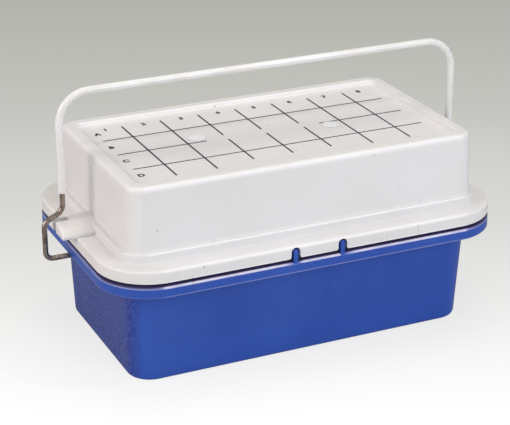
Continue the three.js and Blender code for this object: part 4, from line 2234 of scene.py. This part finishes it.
@dataclass
class Studio:
    """Camera, soft lights and pale backdrop.

    Attributes:
        azimuth: How far the camera stands round to the left, in degrees.
        elevation: How far above the horizon, in degrees.
        distance: From the camera to the aim's plane.
        shift: How far to the right of the view's middle, and above it, the aim lies.
        aim_drop: How far the aim is under the lid's rim.
        lens: Focal length on a 36 mm sensor, in millimetres.
        floor_half: Half of the floor's width.
        lit_share: Part of the floor's colour that comes from the lamps.
        floor_drop: How far the floor lies under the tub.
        fade: Where the floor's fade starts and ends, towards the back.
        fade_tones: Its colours, each with its share of the way.
        far_tone: Colour at the back.
        bounce_tone: Colour of the light that the floor throws back.
        fill_tone: Colour of the light from all round.
        fill: Strength of that light.
        mirrored_cut: How much darker the floor is in reflections.
        lights: The lamps.
    """

    azimuth: float = -24.728
    elevation: float = 22.875
    distance: float = 1.01064
    shift: Pair = (5.77 * MM, 49.53 * MM)
    aim_drop: float = 2.5 * MM
    lens: float = 116.86
    floor_half: float = 6.0
    lit_share: float = 0.16
    floor_drop: float = 0.2 * MM
    fade: Pair = (-0.15, 0.75)
    fade_tones: tuple[tuple[float, Tone], ...] = (
        (0.14, (243, 243, 242)), (0.34, (218, 218, 216)), (0.62, (195, 196, 191)))
    far_tone: Tone = (180, 180, 174)
    bounce_tone: Tone = (216, 216, 214)
    fill_tone: Tone = (244, 246, 250)
    fill: float = 0.3
    mirrored_cut: float = 0.6
    lights: tuple[SoftLight, ...] = (
        SoftLight("front_softbox", (0.5, -1.7, 0.75), 1.1, 17.0, (0.93, 0.95, 1.0)),
        SoftLight("top_softbox", (0.1, 0.2, 1.7), 1.0, 11.2, (1.0, 0.9, 0.77)),
        SoftLight("end_fill", (-1.6, -0.1, 0.75), 0.9, 15.5, (1.0, 0.91, 0.88)),
        SoftLight("small_spark", (0.62, -0.62, 1.34), 0.1, 3.0, (1.0, 1.0, 1.0)),
    )

    def camera(self, rim: float) -> None:
        """Adds the camera, turned to the middle of the lid's panel.

        Args:
            rim: Height of the lid's rim.
        """
        turn, rise = math.radians(self.azimuth), math.radians(self.elevation)
        right = Vector((math.cos(turn), math.sin(turn), 0))
        back = Vector((math.sin(turn) * math.cos(rise), -math.cos(turn) * math.cos(rise),
                       math.sin(rise)))
        up = back.cross(right)
        aim = Vector((0, 0, rim - self.aim_drop))
        eye = aim - right * self.shift[0] - up * self.shift[1] + back * self.distance
        lens = bpy.data.cameras.new("studio_camera")
        lens.lens = self.lens
        lens.sensor_width = 36.0
        lens.clip_start = 0.05
        lens.clip_end = 50.0
        made = linked("studio_camera", lens)
        rows = [[right[i], up[i], back[i], eye[i]] for i in range(3)]
        made.matrix_world = Matrix([*rows, [0, 0, 0, 1]])
        bpy.context.scene.camera = made

    def floor(self) -> None:
        """Adds the floor, whose tone fades towards the back."""
        work = bmesh.new()
        half = self.floor_half
        corners = ((-half, -half), (half, -half), (half, half), (-half, half))
        work.faces.new([work.verts.new((x, y, -self.floor_drop)) for x, y in corners])
        made = object_from("studio_floor", work)
        made.data.materials.append(self._floor_material())

    def _floor_material(self) -> Material:
        """The floor's material: faded colour, a soft shadow and no glare."""
        material = bpy.data.materials.new("studio_floor")
        graph = blank_graph(material)
        where = graph.node("ShaderNodeTexCoord").outputs["Object"]
        turn = math.radians(self.azimuth)
        depth = graph.node("ShaderNodeVectorMath", {
            0: where, 1: (-math.sin(turn), math.cos(turn), 0)}, operation="DOT_PRODUCT")
        share = graph.spread(depth.outputs["Value"], *self.fade)
        ramp = graph.node("ShaderNodeValToRGB", {"Fac": share})
        stops = ramp.color_ramp.elements
        stops[0].color = linear(255, 255, 255)
        stops[1].color = linear(*self.far_tone)
        for place, tone in self.fade_tones:
            stops.new(place).color = linear(*tone)
        lit = graph.node("ShaderNodeVectorMath", {0: ramp.outputs["Color"],
                                                  "Scale": self.lit_share},
                         operation="SCALE")
        matt = graph.node("ShaderNodeBsdfDiffuse", {"Color": lit.outputs[0]})
        ray = graph.node("ShaderNodeLightPath")
        mirrored = graph.times(ray.outputs["Is Glossy Ray"], self.mirrored_cut)
        strength = graph.minus(1 - self.lit_share * 0.95, mirrored)
        glow = graph.node("ShaderNodeEmission", {"Color": ramp.outputs["Color"],
                                                 "Strength": strength})
        seen = graph.node("ShaderNodeAddShader", {0: matt.outputs[0], 1: glow.outputs[0]})
        plain = graph.node("ShaderNodeBsdfDiffuse", {"Color": linear(*self.bounce_tone)})
        straight = graph.math("MAXIMUM", ray.outputs["Is Camera Ray"],
                              graph.math("MAXIMUM", ray.outputs["Is Glossy Ray"],
                                         ray.outputs["Is Transmission Ray"]))
        mixed = graph.node("ShaderNodeMixShader", {0: straight, 1: plain.outputs[0],
                                                   2: seen.outputs[0]})
        graph.node("ShaderNodeOutputMaterial", {"Surface": mixed.outputs[0]})
        return material

    def world(self) -> None:
        """Sets the even fill light and the pale backdrop behind the floor."""
        world = bpy.data.worlds.new("studio_world")
        graph = blank_graph(world)
        fill = graph.node("ShaderNodeBackground", {"Color": linear(*self.fill_tone),
                                                   "Strength": self.fill})
        seen = graph.node("ShaderNodeBackground", {"Color": linear(*self.far_tone),
                                                   "Strength": 1.0})
        ray = graph.node("ShaderNodeLightPath")
        straight = graph.math("MAXIMUM", ray.outputs["Is Camera Ray"],
                              ray.outputs["Is Transmission Ray"])
        mixed = graph.node("ShaderNodeMixShader", {0: straight, 1: fill.outputs[0],
                                                   2: seen.outputs[0]})
        graph.node("ShaderNodeOutputWorld", {"Surface": mixed.outputs[0]})
        bpy.context.scene.world = world

    def build(self, rim: float) -> None:
        """Sets up the camera, floor, world and lights.

        Args:
            rim: Height of the lid's rim.
        """
        bpy.context.scene.view_settings.view_transform = "Standard"
        self.camera(rim)
        self.floor()
        self.world()
        for light in self.lights:
            light.build(Vector((0, 0, rim / 2)))


class Cooler:
    """The whole cooler, made piece by piece round the frame."""

    def __init__(self, nodes: dict) -> None:
        """Sets out the sub-assemblies.

        Args:
            nodes: The frame's CAD nodes by name.
        """
        self.nodes = nodes
        keys, pivot = Keys(), Pivot()
        self.plugs = FillPlug()
        self.tub = Tub(keys, pivot, self.plugs)
        self.lid = LidMoulding(keys, pivot, self.plugs)
        self.liner = Liner(self.lid)
        self.tray = WellTray()
        self.bail = Bail(pivot)
        self.print = GridPrint(self.tray, self.lid.panel)

    def build(self) -> None:
        """Builds every piece and dresses the CAD nodes that stay."""
        effects = Effects()
        blue = BLUE_TUB.build(effects)
        tray_plastic = TRAY_PLASTIC.build(effects)
        self.tub.build(blue)
        self.lid.build(WHITE_LID.build(effects))
        self.liner.build(tray_plastic)
        self.tray.build(tray_plastic)
        self.bail.wire(WIRE.build(effects))
        self.bail.sleeve(VINYL.build(effects))
        ink = INK.build(effects)
        self.print.lines(ink)
        self.print.labels(ink)
        self._plugs(blue, PALE_CAP.build(effects))
        self._gels(GEL.build(effects))

    def _plugs(self, blue: Material, pale: Material) -> None:
        """Builds and dresses the four plugs.

        Args:
            blue: Material of the tub's plugs.
            pale: Material of the lid's plugs.
        """
        for end in End:
            side = end.name.lower()
            node = f"base_fill_plug_{side}"
            low = self.plugs.base_plug(f"tub_plug_{side}", node, end)
            finish_shape(low)
            dress(low, blue, Body.BASE, [node])
            node = f"lid_fill_plug_{side}"
            high = self.plugs.lid_plug(f"panel_plug_{side}", node, end, self.lid.panel)
            finish_shape(high)
            dress(high, pale, Body.LID, [node])

    def _gels(self, gel: Material) -> None:
        """Gives both gel fillings their finish."""
        for name in ("base_coolant_gel", "lid_coolant_gel"):
            for slot in self.nodes[name].material_slots:
                slot.material = gel


def main() -> None:
    """Builds the studio and the cooler."""
    logging.basicConfig(level=logging.INFO, format="%(message)s")
    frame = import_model()
    cooler = Cooler(frame["nodes"])
    Studio().build(cooler.lid.rim)
    cooler.build()


if __name__ == "__main__":
    main()
